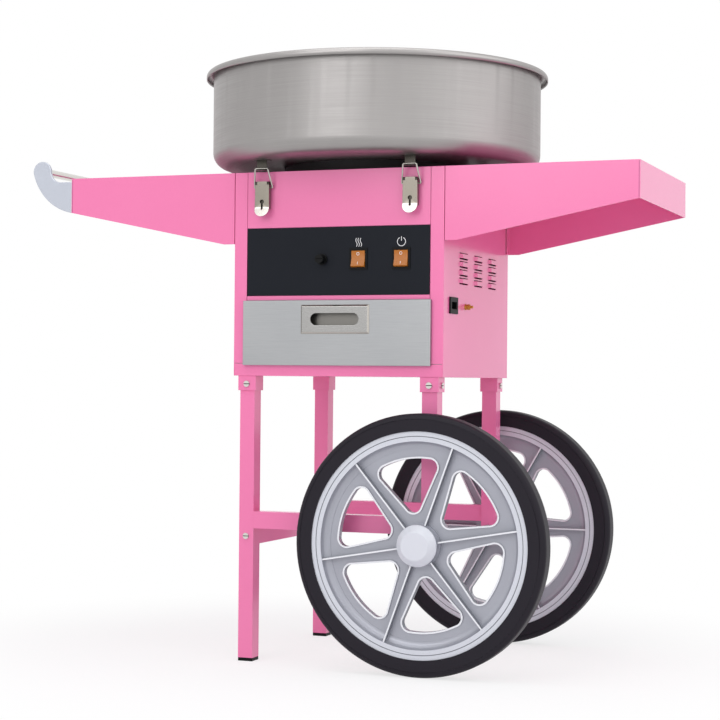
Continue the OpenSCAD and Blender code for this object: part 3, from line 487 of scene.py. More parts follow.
def paint_node(node: str, finish: Finish) -> None:
    """Gives a solid that keeps its own mesh a finish."""
    data = frame["nodes"][node].data
    data.materials.clear()
    data.materials.append(finish.material())


def block(mesh: bmesh.types.BMesh, middle: tuple[float, ...], size: tuple[float, ...]) -> None:
    """Adds a box to a working mesh.

    Args:
        mesh: The working mesh.
        middle: The box's middle.
        size: Its three sizes.
    """
    made = bmesh.ops.create_cube(mesh, size=1.0)["verts"]
    bmesh.ops.scale(mesh, verts=made, vec=size)
    bmesh.ops.translate(mesh, verts=made, vec=middle)


def post(mesh: bmesh.types.BMesh, middle: tuple[float, ...], radius: float, length: float) -> None:
    """Adds a round post along X to a working mesh.

    Args:
        mesh: The working mesh.
        middle: The post's middle.
        radius: Its radius.
        length: Its length.
    """
    made = bmesh.ops.create_cone(
        mesh, cap_ends=True, segments=POST_STEPS, radius1=radius, radius2=radius, depth=length,
    )["verts"]
    bmesh.ops.rotate(mesh, verts=made, matrix=Matrix.Rotation(math.pi / 2, 3, "Y"))
    bmesh.ops.translate(mesh, verts=made, vec=middle)


def wire(
    name: str, path: list[Vector], radius: float, bend: float, place: Matrix,
) -> bpy.types.Object:
    """Bends a round wire along a path with rounded corners.

    Args:
        name: The piece's name.
        path: The corners of its middle line.
        radius: The wire's radius.
        bend: How far from each corner the bend starts.
        place: Where the drawn wire goes.

    Returns:
        The wire as a mesh object.
    """
    points = [path[0]]
    for before, corner, after in zip(path, path[1:], path[2:]):
        points.append(corner + (before - corner).normalized() * bend)
        points.append(corner)
        points.append(corner + (after - corner).normalized() * bend)
    points.append(path[-1])
    line = bpy.data.curves.new(name, "CURVE")
    line.dimensions = "3D"
    line.bevel_depth = radius
    line.bevel_resolution = WIRE_ROUND
    line.use_fill_caps = True
    spline = line.splines.new("NURBS")
    spline.points.add(len(points) - 1)
    for spot, point in zip(spline.points, points):
        spot.co = (*(place @ point), 1.0)
    spline.order_u = 3
    spline.use_endpoint_u = True
    spline.resolution_u = WIRE_SMOOTH
    drawn = bpy.data.objects.new(name, line)
    data = bpy.data.meshes.new_from_object(drawn)
    bpy.data.objects.remove(drawn)
    mesh = bmesh.new()
    mesh.from_mesh(data)
    bpy.data.meshes.remove(data)
    bmesh.ops.remove_doubles(mesh, verts=mesh.verts, dist=WELD)
    bmesh.ops.recalc_face_normals(mesh, faces=mesh.faces)
    return piece_of(name, mesh)


def thicken(mesh: bmesh.types.BMesh, shift: tuple[float, float, float]) -> None:
    """Makes a sheet a closed body.

    Args:
        mesh: The working mesh.
        shift: The way from the sheet to the body's other side.
    """
    raised = bmesh.ops.extrude_face_region(mesh, geom=mesh.faces[:])["geom"]
    verts = [part for part in raised if isinstance(part, bmesh.types.BMVert)]
    bmesh.ops.translate(mesh, verts=verts, vec=shift)


def islands(mesh: bmesh.types.BMesh) -> list[list[bmesh.types.BMVert]]:
    """Splits a working mesh into its joined bodies.

    Args:
        mesh: The working mesh.

    Returns:
        The vertices of each body.
    """
    left = set(mesh.verts)
    found = []
    while left:
        reached = [left.pop()]
        for vert in reached:
            near = [edge.other_vert(vert) for edge in vert.link_edges]
            fresh = [other for other in near if other in left]
            left.difference_update(fresh)
            reached.extend(fresh)
        found.append(reached)
    return found


class Outline:
    """A section drawn point by point in a plane through an axis, then spun round it."""

    def __init__(self, radius: float, height: float) -> None:
        """Starts the section at one point."""
        self.mesh = bmesh.new()
        self.last = self.mesh.verts.new((radius, 0.0, height))

    def line(self, radius: float, height: float) -> Outline:
        """Draws a straight stretch.

        Args:
            radius: Distance of its end from the axis.
            height: Height of its end.

        Returns:
            The outline.
        """
        made = bmesh.ops.extrude_vert_indiv(self.mesh, verts=[self.last])
        self.last = made["verts"][0]
        self.last.co = (radius, 0.0, height)
        return self

    def arc(self, radius: float, height: float, turn: float, steps: int) -> Outline:
        """Draws a round stretch about a point.

        Args:
            radius: Distance of the arc's middle from the axis.
            height: Height of the arc's middle.
            turn: Angle in degrees, positive from up towards outwards.
            steps: Straight steps that make it.

        Returns:
            The outline.
        """
        made = bmesh.ops.spin(
            self.mesh, geom=[self.last], cent=(radius, 0.0, height), axis=(0.0, 1.0, 0.0),
            angle=math.radians(turn), steps=steps,
        )
        self.last = made["geom_last"][0]
        return self

    def spun(self, steps: int) -> bmesh.types.BMesh:
        """Spins the section round the vertical axis.

        Args:
            steps: Steps of the full turn.

        Returns:
            The working mesh, merged, with its faces turned outwards.
        """
        bmesh.ops.spin(
            self.mesh, geom=[*self.mesh.verts, *self.mesh.edges], cent=(0.0, 0.0, 0.0), axis=(0.0, 0.0, 1.0),
            angle=math.tau, steps=steps, use_merge=True,
        )
        bmesh.ops.remove_doubles(self.mesh, verts=self.mesh.verts, dist=WELD)
        bmesh.ops.recalc_face_normals(self.mesh, faces=self.mesh.faces)
        return self.mesh


@dataclass
class Cabinet:
    """The folded pink box with its panels."""

    fold: float = 0.0006
    panels: tuple[str, ...] = (
        "side_panel_left", "side_panel_right", "front_panel", "back_panel", "top_plate", "base_pan",
    )

    def build(self) -> None:
        """Rounds and paints the panels."""
        for node in self.panels:
            soften(node, PAINT, self.fold)


class Marks:
    """Flat printed marks, drawn upright in the XZ plane about their own middle."""

    @staticmethod
    def ring(radius: float, line: float, turn: float = math.tau, start: float = 0.0) -> bmesh.types.BMesh:
        """Draws a ring or a part of one.

        Args:
            radius: Its middle radius.
            line: Its line's width.
            turn: How far it goes round.
            start: Where it starts, from the top.

        Returns:
            The working mesh.
        """
        mesh = bmesh.new()
        ends = [mesh.verts.new((0.0, 0.0, radius + side * line / 2)) for side in (-1, 1)]
        edge = mesh.edges.new(ends)
        bmesh.ops.rotate(mesh, verts=ends, matrix=Matrix.Rotation(start, 3, "Y"))
        bmesh.ops.spin(
            mesh, geom=[*ends, edge], cent=(0.0, 0.0, 0.0), axis=(0.0, 1.0, 0.0), angle=turn,
            steps=RING_STEPS, use_merge=turn == math.tau,
        )
        return mesh

    @staticmethod
    def wave(height: float, sway: float, line: float, offset: float) -> bmesh.types.BMesh:
        """Draws one upright wavy line.

        Args:
            height: Its height.
            sway: How far it sways to each side.
            line: Its line's width.
            offset: Where it stands along X.

        Returns:
            The working mesh.
        """
        mesh = bmesh.new()
        ends = [mesh.verts.new((offset + side * line / 2, 0.0, -height / 2)) for side in (-1, 1)]
        edge = mesh.edges.new(ends)
        for step in range(WAVE_STEPS):
            made = bmesh.ops.extrude_edge_only(mesh, edges=[edge])["geom"]
            edge = next(e for e in made if isinstance(e, bmesh.types.BMEdge))
            bend = [sway * math.sin(math.tau * share / WAVE_STEPS) for share in (step, step + 1)]
            bmesh.ops.translate(mesh, verts=edge.verts, vec=(bend[1] - bend[0], 0.0, height / WAVE_STEPS))
        return mesh

    @staticmethod
    def bar(height: float, line: float, rise: float) -> bmesh.types.BMesh:
        """Draws one upright bar.

        Args:
            height: Its height.
            line: Its width.
            rise: Height of its middle.

        Returns:
            The working mesh.
        """
        mesh = bmesh.new()
        bmesh.ops.create_grid(mesh, x_segments=1, y_segments=1, size=0.5)
        bmesh.ops.scale(mesh, verts=mesh.verts, vec=(line, height, 1.0))
        bmesh.ops.rotate(mesh, verts=mesh.verts, matrix=Matrix.Rotation(math.pi / 2, 3, "X"))
        bmesh.ops.translate(mesh, verts=mesh.verts, vec=(0.0, 0.0, rise))
        return mesh

    @staticmethod
    def printed(name: str, strokes: list[bmesh.types.BMesh], place: Matrix, film: float) -> bpy.types.Object:
        """Joins strokes into one thin print facing -Y and puts it in its place.

        Args:
            name: The print's name.
            strokes: Its working meshes, which are freed.
            place: Where its middle goes.
            film: Its thickness.

        Returns:
            The print.
        """
        whole = bmesh.new()
        for stroke in strokes:
            data = bpy.data.meshes.new(name)
            stroke.to_mesh(data)
            stroke.free()
            whole.from_mesh(data)
            bpy.data.meshes.remove(data)
        bmesh.ops.recalc_face_normals(whole, faces=whole.faces)
        flipped = [face for face in whole.faces if face.normal.y > 0]
        bmesh.ops.reverse_faces(whole, faces=flipped)
        thicken(whole, (0.0, -film, 0.0))
        bmesh.ops.recalc_face_normals(whole, faces=whole.faces)
        bmesh.ops.transform(whole, verts=whole.verts, matrix=place)
        return piece_of(name, whole)


@dataclass
class Controls:
    """The dark panel with its switches, fuse, inlet and stud."""

    soft: float = 0.0004
    inlet_soft: float = 0.0015
    film: float = 0.00012
    sign_z: float = 0.6148
    power_r: float = 0.0062
    power_gap: float = math.radians(28)
    power_bar_rise: float = 0.7
    line: float = 0.0009
    fine_line: float = 0.7
    wave_h: float = 0.0124
    wave_sway: float = 0.0011
    wave_pitch: float = 0.0034
    rocker_tip: float = math.radians(-8)
    rocker_slope: float = math.radians(11.3)
    rocker_mark_out: float = 0.0036
    rocker_mark_rise: float = 0.0068
    rocker_ring_r: float = 0.0019
    rocker_bar_h: float = 0.0042

    def build(self) -> None:
        """Rounds and dresses the control pieces and prints their signs."""
        soften("control_panel", OVERLAY, self.soft)
        for node in ("switch_bezels", "fuse_holder", "fuse_cap"):
            soften(node, BLACK, self.soft)
        soften("power_inlet", BLACK, self.inlet_soft)
        for node in ("heat_rocker", "power_rocker"):
            soften(node, AMBER, self.soft)
            self.mark_rocker(node)
        soften("bonding_stud", BRASS, self.soft / 2)
        self.print_signs()

    def print_signs(self) -> None:
        """Prints the heat sign and the power sign above their switches."""
        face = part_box("control_panel")[0].y
        signs = {
            "heat_rocker": [
                Marks.wave(self.wave_h, self.wave_sway, self.line, side * self.wave_pitch)
                for side in (-1, 0, 1)
            ],
            "power_rocker": [
                Marks.ring(self.power_r, self.line, math.tau - 2 * self.power_gap, self.power_gap),
                Marks.bar(self.power_r, self.line, self.power_r * self.power_bar_rise),
            ],
        }
        for node, strokes in signs.items():
            low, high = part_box(node)
            place = Matrix.Translation(((low.x + high.x) / 2, face, self.sign_z))
            show(Marks.printed(f"{node}_sign", strokes, place, self.film), PRINT, "cart")

    def mark_rocker(self, node: str) -> None:
        """Prints the off ring and the on bar on one rocker.

        Args:
            node: The rocker's name.
        """
        joint = next(joint for joint in frame["joints"] if joint["child"] == node)
        pivot = Matrix.Translation(joint["pos_m"]) @ Matrix.Rotation(self.rocker_tip, 4, "X")
        line = self.line * self.fine_line
        strokes = {
            1: [Marks.ring(self.rocker_ring_r, line)],
            -1: [Marks.bar(self.rocker_bar_h, line, 0.0)],
        }
        for half, stroke in strokes.items():
            spot = Matrix.Translation((0.0, -self.rocker_mark_out, half * self.rocker_mark_rise))
            place = pivot @ spot @ Matrix.Rotation(half * self.rocker_slope, 4, "X")
            name = f"{node}_{'off' if half > 0 else 'on'}_mark"
            show(Marks.printed(name, stroke, place, self.film), PRINT, node)


class PullFace(IntEnum):
    """The drawer pull's finishes, in their order: the plate, a painted highlight on the bevel and painted shade in
    the pocket.
    """

    PLATE = 0
    BEVEL_HIGHLIGHT = 1
    POCKET_SHADE = 2


@dataclass
class Drawer:
    """The stainless drawer."""

    fold: float = 0.0005
    plate_t: float = 0.003
    tilt: tuple[float, float] = (0.3, 0.95)

    def build(self) -> None:
        """Rounds and dresses the drawer."""
        for node in ("drawer_front", "drawer_tray"):
            soften(node, SHEET, self.fold)
        soften("drawer_runners", ZINC, self.fold)
        self.pull()

    def pull(self) -> None:
        """Dresses the pull plate, with a painted highlight on its bevel and painted shade in its pocket."""
        mesh = solid_of("drawer_pull")
        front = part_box("drawer_pull")[0].y
        # Deep faces get painted shade, and sloped bevel faces a painted highlight.
        for face in mesh.faces:
            deep = max(vert.co.y for vert in face.verts) - front
            steep = abs(face.normal.y)
            if deep > self.plate_t + WELD:
                face.material_index = PullFace.POCKET_SHADE
            elif self.tilt[0] < steep < self.tilt[1]:
                face.material_index = PullFace.BEVEL_HIGHLIGHT
        rounded(mesh, self.fold)
        piece = piece_of("drawer_pull_rounded", mesh)
        show(piece, PLATE, BODY_OF["drawer_pull"], "drawer_pull", others=(WIRE_AND_HIGHLIGHT, POCKET_SHADE))


@dataclass
class Bowl:
    """The spun bowl with its seat and keepers."""

    wall_r: float = 0.249
    corner_r: float = 0.021
    fine: float = 0.0003
    wall_t: float = 0.0012
    drop: float = 0.004
    hole_r: float = 0.02
    steps: int = 224
    corner_steps: int = 14
    roll_steps: int = 12

    def build(self) -> None:
        """Spins the bowl and dresses what holds it."""
        low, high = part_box("bowl")
        roll_r = (high.x - CENTRE_X - self.wall_r) / 2
        roll = (self.wall_r + roll_r, high.z - roll_r)
        section = Outline(self.hole_r, low.z).line(self.wall_r - self.corner_r, low.z)
        section.arc(self.wall_r - self.corner_r, low.z + self.corner_r, -90, self.corner_steps)
        section.line(self.wall_r, roll[1])
        section.arc(*roll, 180, self.roll_steps)
        section.line(self.wall_r + 2 * roll_r, roll[1] - self.drop)
        mesh = section.spun(self.steps)
        bmesh.ops.translate(mesh, verts=mesh.verts, vec=(CENTRE_X, 0.0, 0.0))
        piece = piece_of("bowl_spun", mesh)
        wall = piece.modifiers.new("wall", "SOLIDIFY")
        wall.thickness = self.wall_t
        wall.offset = 0.0
        show(piece, SPUN, "cart", "bowl")
        soften("bowl_seat", SEAT, 2 * self.fine)
        # The keepers take the shaded nickel: painted shade under the bowl.
        soften("bowl_keepers", SHADED_NICKEL, self.fine)


@dataclass
class Latches:
    """Four over-centre latches, drawn about the cabinet's face with -Y outwards."""

    soft: float = 0.0003
    places: tuple[str, ...] = ("front_left", "front_right", "rear_left", "rear_right")
    pivot_z: float = 0.703
    pivot_out: float = 0.006
    lever_out: float = 0.0113
    lever_t: float = 0.0014
    lever_w: float = 0.022
    lever_end_r: float = 0.0114
    notch_w: float = 0.0034
    notch_h: float = 0.0048
    lever_rise: float = 0.003
    lever_tip: float = 0.049
    ear_in: float = 0.003
    tip_bend: float = math.radians(-16)
    tip_l: float = 0.0145
    keyhole_r: float = 0.0032
    keyhole_slot: float = 0.0015
    keyhole_drop: float = 0.0268
    keyhole_l: float = 0.0105
    boss_r: float = 0.0031
    boss_l: float = 0.0034
    shade_plate_set: float = 0.003
    shade_plate_t: float = 0.0008
    wire_r: float = 0.0013
    wire_bend: float = 0.0035
    bail_foot: tuple[float, float, float] = (0.0144, 0.005, 0.697)
    bail_top: tuple[float, float, float] = (0.0099, 0.0137, 0.72455)
    round_steps: int = 18
    slot_steps: int = 8

    @property
    def end_z(self) -> float:
        """Height of the middle of a lever's round end."""
        return self.pivot_z - self.lever_tip + self.lever_end_r

    @property
    def top_z(self) -> float:
        """Height of a lever's top."""
        return self.pivot_z + self.lever_rise

    @property
    def ear_top_z(self) -> float:
        """Height at which a lever's ears end and its notches start."""
        return self.top_z - self.notch_h

    def build(self) -> None:
        """Builds and dresses the latches."""
        # The latch bases take the shaded nickel: painted shade behind the levers.
        soften("latch_bases", SHADED_NICKEL, self.soft)
        for place in self.places:
            self.lever(place)
            self.bosses(place)
            self.bail(place)

    def pose(self, place: str) -> Matrix:
        """Gives the move from the drawn latch to one of the four.

        Args:
            place: Which latch.

        Returns:
            The move.
        """
        low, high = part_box(f"lever_{place}")
        rear = place.startswith("rear")
        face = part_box("back_panel")[1].y if rear else -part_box("back_panel")[1].y
        turn = Matrix.Rotation(math.pi if rear else 0.0, 4, "Z")
        return Matrix.Translation(((low.x + high.x) / 2, face, 0.0)) @ turn

    def lever(self, place: str) -> None:
        """Builds one lever's plate, with a keyhole, a bent tip and two ears.

        Args:
            place: Which latch.
        """
        mesh = bmesh.new()
        bmesh.ops.triangle_fill(mesh, use_beauty=True, edges=self.loop(mesh) + self.keyhole(mesh))
        bend_z = self.pivot_z - self.lever_tip + self.tip_l
        bmesh.ops.bisect_plane(
            mesh, geom=[*mesh.verts, *mesh.edges, *mesh.faces], plane_co=(0.0, 0.0, bend_z),
            plane_no=(0.0, 0.0, 1.0), dist=WELD,
        )
        tip = [vert for vert in mesh.verts if vert.co.z < bend_z - WELD]
        hinge = Matrix.Rotation(self.tip_bend, 3, "X")
        bmesh.ops.rotate(mesh, verts=tip, cent=(0.0, 0.0, bend_z), matrix=hinge)
        bmesh.ops.translate(mesh, verts=mesh.verts, vec=(0.0, -self.lever_out, 0.0))
        thicken(mesh, (0.0, self.lever_t, 0.0))
        ear_out = self.lever_out - self.lever_t / 2
        for side in (-1, 1):
            middle = (
                side * (self.lever_w - self.lever_t) / 2, -(ear_out + self.ear_in) / 2,
                (self.ear_top_z + self.end_z) / 2,
            )
            block(mesh, middle, (self.lever_t, ear_out - self.ear_in, self.ear_top_z - self.end_z))
        bmesh.ops.recalc_face_normals(mesh, faces=mesh.faces)
        rounded(mesh, self.soft)
        bmesh.ops.dissolve_degenerate(mesh, dist=WELD, edges=mesh.edges)
        # The bent tip takes the bright bail-wire finish: a painted highlight on the same sheet as the lever.
        for face in mesh.faces:
            face.material_index = int(face.calc_center_median().z < bend_z)
        bmesh.ops.transform(mesh, verts=mesh.verts, matrix=self.pose(place))
        body = f"lever_{place}"
        show(piece_of(f"{body}_plate", mesh), SATIN, body, body, others=(WIRE_AND_HIGHLIGHT,))

    def bosses(self, place: str) -> None:
        """Builds one lever's two pivot bosses and the dark plate behind its keyhole, in the shaded nickel; the
        plate is painted shade for the lever's dark inside.

        Args:
            place: Which latch.
        """
        mesh = bmesh.new()
        for side in (-1, 1):
            middle = (side * (self.lever_w - self.boss_l) / 2, self.boss_r - self.lever_out, self.pivot_z)
            post(mesh, middle, self.boss_r, self.boss_l)
        # A thin plate behind the keyhole, painted shade for the lever's dark inside.
        block(
            mesh, (0.0, self.shade_plate_set - self.lever_out, (self.end_z + self.ear_top_z) / 2),
            (self.lever_w - 2 * self.lever_t, self.shade_plate_t, self.ear_top_z - self.end_z),
        )
        rounded(mesh, self.soft)
        bmesh.ops.transform(mesh, verts=mesh.verts, matrix=self.pose(place))
        body = f"lever_{place}"
        show(piece_of(f"{body}_bosses", mesh), SHADED_NICKEL, body)

    def loop(self, mesh: bmesh.types.BMesh) -> list[bmesh.types.BMEdge]:
        """Draws a lever's outline: a tongue between two notches, and a round end.

        Args:
            mesh: The working mesh.

        Returns:
            The outline's edges.
        """
        before = set(mesh.edges)
        half_w = self.lever_w / 2
        tongue = half_w - self.notch_w
        low_z, top_z = self.ear_top_z, self.top_z
        notched = ((half_w, low_z), (tongue, low_z), (tongue, top_z), (-tongue, top_z), (-tongue, low_z))
        first = mesh.verts.new((-half_w, 0.0, low_z))
        left = mesh.verts.new((-self.lever_end_r, 0.0, self.end_z))
        mesh.edges.new((first, left))
        right = bmesh.ops.spin(
            mesh, geom=[left], cent=(0.0, 0.0, self.end_z), axis=(0.0, 1.0, 0.0), angle=-math.pi,
            steps=self.round_steps,
        )["geom_last"][0]
        last = first
        for x, z in reversed(notched):
            corner = mesh.verts.new((x, 0.0, z))
            mesh.edges.new((corner, last))
            last = corner
        mesh.edges.new((right, last))
        return [edge for edge in mesh.edges if edge not in before]

    def keyhole(self, mesh: bmesh.types.BMesh) -> list[bmesh.types.BMEdge]:
        """Draws a lever's keyhole: a round hole over a narrow slot.

        Args:
            mesh: The working mesh.

        Returns:
            The keyhole's edges.
        """
        before = set(mesh.edges)
        top_z = self.pivot_z - self.keyhole_drop
        half = math.asin(self.keyhole_slot / self.keyhole_r)
        meet_z = top_z - self.keyhole_r * math.cos(half)
        low_z = top_z - self.keyhole_l
        start = mesh.verts.new((-self.keyhole_slot, 0.0, meet_z))
        round_end = bmesh.ops.spin(
            mesh, geom=[start], cent=(0.0, 0.0, top_z), axis=(0.0, 1.0, 0.0), angle=math.tau - 2 * half,
            steps=self.round_steps,
        )["geom_last"][0]
        low = mesh.verts.new((self.keyhole_slot, 0.0, low_z))
        mesh.edges.new((round_end, low))
        slot_end = bmesh.ops.spin(
            mesh, geom=[low], cent=(0.0, 0.0, low_z), axis=(0.0, 1.0, 0.0), angle=math.pi,
            steps=self.slot_steps,
        )["geom_last"][0]
        mesh.edges.new((slot_end, start))
        return [edge for edge in mesh.edges if edge not in before]

    def bail(self, place: str) -> None:
        """Bends one wire bail.

        Args:
            place: Which latch.
        """
        foot, top = (Vector((x, -out, z)) for x, out, z in (self.bail_foot, self.bail_top))
        inner = Vector((self.lever_w / 2 - self.lever_t, foot.y, foot.z))
        half = [inner, foot, top]
        path = half + [Vector((-p.x, p.y, p.z)) for p in reversed(half)]
        body = f"bail_{place}"
        piece = wire(f"{body}_wire", path, self.wire_r, self.wire_bend, self.pose(place))
        show(piece, WIRE_AND_HIGHLIGHT, body, body)


@dataclass
class Spinner:
    """The motor and the turning head in the bowl."""

    soft: float = 0.0004
    motor_soft: float = 0.001

    def build(self) -> None:
        """Dresses the head and what drives it."""
        for node in ("spinner_base", "spinner_screen", "spinner_cap"):
            soften(node, ALLOY, self.soft)
        soften("spinner_shaft", ZINC, self.soft)
        soften("motor", MOTOR, self.motor_soft)
        soften("motor_mount", ZINC, self.soft)
        paint_node("heater_band", HEATER)
        paint_node("slip_rings", BRASS)
        paint_node("brush_holder", RESIN)


@dataclass
class Shelves:
    """The two folded shelves and the handle at the left end."""

    fold: float = 0.001
    cast: float = 0.0012
    seam: float = 0.001
    # The corner strips are painted shadow lines: their inset, width and standing-off.
    shadow_line_in: float = 0.0016
    shadow_line_w: float = 0.0008
    shadow_line_proud: float = 0.00006
    end_h: float = 0.0525

    def build(self) -> None:
        """Rounds and dresses the shelves and the handle."""
        for side, root in (("left", 1), ("right", 0)):
            self.shelf(f"shelf_{side}", root)
        soften("handle_brackets", CAST, self.cast)
        soften("handle_bar", NICKEL, self.fold / 2)

    def shelf(self, node: str, root: int) -> None:
        """Rounds one shelf and leaves a fine seam where it meets the cabinet.

        Args:
            node: The shelf's name.
            root: Which corner of its box lies at the cabinet.
        """
        mesh = solid_of(node)
        root_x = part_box(node)[root].x
        inner = [vert for vert in mesh.verts if abs(vert.co.x - root_x) < NEAR]
        bmesh.ops.translate(mesh, verts=inner, vec=((1 - 2 * root) * self.seam, 0.0, 0.0))
        rounded(mesh, self.fold)
        show(piece_of(f"{node}_rounded", mesh), PAINT, BODY_OF[node], node)
        # Thin dark strips at the outer corners are painted shadow lines.
        self.corner_seams(node, root)

    def corner_seams(self, node: str, root: int) -> None:
        """Draws thin dark strips of painted shadow down a shelf's two outer corners.

        Args:
            node: The shelf's name.
            root: Which corner of its box lies at the cabinet.
        """
        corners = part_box(node)
        out = corners[1 - root].x
        way = 2 * root - 1
        mesh = bmesh.new()
        for y in (corners[0].y, corners[1].y):
            block(
                mesh, (out + way * self.shadow_line_in, y, corners[1].z - self.end_h / 2),
                (self.shadow_line_w, 2 * self.shadow_line_proud, self.end_h - 2 * self.fold),
            )
        show(piece_of(f"{node}_seams", mesh), SEAM_SHADOW, BODY_OF[node])


@dataclass
class Stand:
    """Legs, sockets, braces and their screws."""

    tube: float = 0.0014
    soft: float = 0.0005
    slot_d: float = 0.0014

    def build(self) -> None:
        """Rounds and dresses the stand."""
        for node in ("left_legs", "right_legs", "brace_front", "brace_rear", "brace_left"):
            soften(node, PAINT, self.tube)
        soften("leg_sockets", PAINT, self.soft)
        soften("foot_caps", BLACK, self.soft)
        self.screws()
        for node in ("axle", "axle_spacers", "axle_nuts"):
            soften(node, ZINC, self.soft)

    def screws(self) -> None:
        """Dresses the frame screws, with driver slots painted black as painted shade."""
        mesh = solid_of("frame_screws")
        for verts in islands(mesh):
            lows = [min(vert.co[axis] for vert in verts) for axis in range(3)]
            highs = [max(vert.co[axis] for vert in verts) for axis in range(3)]
            along = max(range(3), key=lambda axis: highs[axis] - lows[axis])
            middle = sum(vert.co[along] for vert in verts) / len(verts)
            head = min(lows[along], highs[along], key=lambda end: abs(end - middle))
            for face in {face for vert in verts for face in vert.link_faces}:
                depths = [abs(vert.co[along] - head) for vert in face.verts]
                # Faces sunk into the slot are painted black: painted shade.
                slot_in_shade = max(depths) < self.slot_d and max(depths) > self.slot_d / 2
                face.material_index = int(slot_in_shade)
        piece = piece_of("frame_screws_slotted", mesh)
        show(piece, NICKEL, BODY_OF["frame_screws"], "frame_screws", others=(BLACK,))


class WheelFace(IntEnum):
    """A wheel's finishes, in their order: the web, a rim band painted lighter than the web, a painted highlight on
    edges and painted shade in recesses.
    """

    WEB = 0
    LIT_RIM = 1
    EDGE_HIGHLIGHT = 2
    RECESS_SHADE = 3


@dataclass
class Wheel:
    """One spoked wheel with its tyre and hub cap."""

    end: str
    soft: float = 0.0005
    cap_soft: float = 0.0012
    tyre_soft: float = 0.0008
    rim_in_r: float = 0.1465
    groove_r: float = 0.153
    groove_half_w: float = 0.0009
    web_half: float = 0.0034
    hub_r: float = 0.031
    lip_level: float = 0.0054
    lip_slack: float = 0.0003
    fin_level: float = 0.012
    level_face: float = 0.9
    upright: float = 0.7

    def build(self) -> None:
        """Rounds and dresses the wheel."""
        soften(f"{self.end}_tyre", TYRE, self.tyre_soft)
        soften(f"{self.end}_hub_cap", HUB_CAP, self.cap_soft)
        node = f"{self.end}_wheel"
        low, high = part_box(f"{self.end}_tyre")
        mesh = solid_of(node)
        self.mark(mesh, (low + high) / 2)
        rounded(mesh, self.soft)
        piece = piece_of(f"{node}_rounded", mesh)
        show(piece, WHEEL, BODY_OF[node], node, others=(LIT_RIM, EDGE_HIGHLIGHT, RECESS_SHADE))

    def mark(self, mesh: bmesh.types.BMesh, middle: Vector) -> None:
        """Sorts the wheel's faces into web, a rim band painted lighter as painted light, edges with a painted
        highlight and recesses with painted shade.

        Args:
            mesh: The wheel's working mesh.
            middle: The wheel's middle.
        """
        for face in mesh.faces:
            spots = [vert.co - middle for vert in face.verts]
            radius = sum(math.hypot(spot.x, spot.z) for spot in spots) / len(spots)
            level = sum(abs(spot.y) for spot in spots) / len(spots)
            spot = face.calc_center_median() - middle
            across = face.normal.dot(Vector((-spot.z, 0.0, spot.x)).normalized())
            face.material_index = self.region(radius, level, abs(face.normal.y), abs(across))

    def region(self, radius: float, level: float, facing: float, across: float) -> WheelFace:
        """Names the finish of one face.

        Args:
            radius: Its distance from the axle.
            level: Its distance from the wheel's middle plane.
            facing: How much it faces along the axle.
            across: How much it faces round the wheel.

        Returns:
            The finish's place among the wheel's finishes.
        """
        # The rim band is painted lighter than the web, and its groove gets painted shade.
        if radius > self.rim_in_r:
            in_groove = abs(radius - self.groove_r) < self.groove_half_w
            return WheelFace.RECESS_SHADE if in_groove else WheelFace.LIT_RIM
        if radius < self.hub_r:
            return WheelFace.WEB
        # Window walls, fin tops and lip tops get a painted highlight, and fin sides get painted shade.
        if level < self.web_half + WELD:
            return WheelFace.WEB if facing > self.upright else WheelFace.EDGE_HIGHLIGHT
        if facing > self.level_face:
            raised = level > self.fin_level or abs(level - self.lip_level) < self.lip_slack
            return WheelFace.EDGE_HIGHLIGHT if raised else WheelFace.WEB
        fin_side = across > self.upright and level > self.lip_level
        return WheelFace.RECESS_SHADE if fin_side else WheelFace.WEB


@dataclass
class Viewpoint:
    """The camera, where the photograph was taken from."""

    place: tuple[float, float, float] = (1.01478, -2.64159, 0.41617)
    yaw: float = math.radians(20.88)
    pitch: float = math.radians(0.62)
    roll: float = math.radians(0.51)
    lens: float = 92.09
    sensor: float = 36.0

    def build(self) -> None:
        """Makes the camera and points it at the cart."""
        data = bpy.data.cameras.new("view")
        data.lens = self.lens
        data.sensor_width = self.sensor
        data.sensor_fit = "HORIZONTAL"
        camera = bpy.data.objects.new("view", data)
        bpy.context.scene.collection.objects.link(camera)
        ahead = Vector((
            -math.sin(self.yaw) * math.cos(self.pitch),
            math.cos(self.yaw) * math.cos(self.pitch),
            math.sin(self.pitch),
        ))
        right = ahead.cross(Vector((0.0, 0.0, 1.0))).normalized()
        above = right.cross(ahead)
        turned_right = right * math.cos(self.roll) + above * math.sin(self.roll)
        turned_above = above * math.cos(self.roll) - right * math.sin(self.roll)
        pose = Matrix((turned_right, turned_above, -ahead)).transposed().to_4x4()
        pose.translation = Vector(self.place)
        camera.matrix_world = pose
        bpy.context.scene.camera = camera


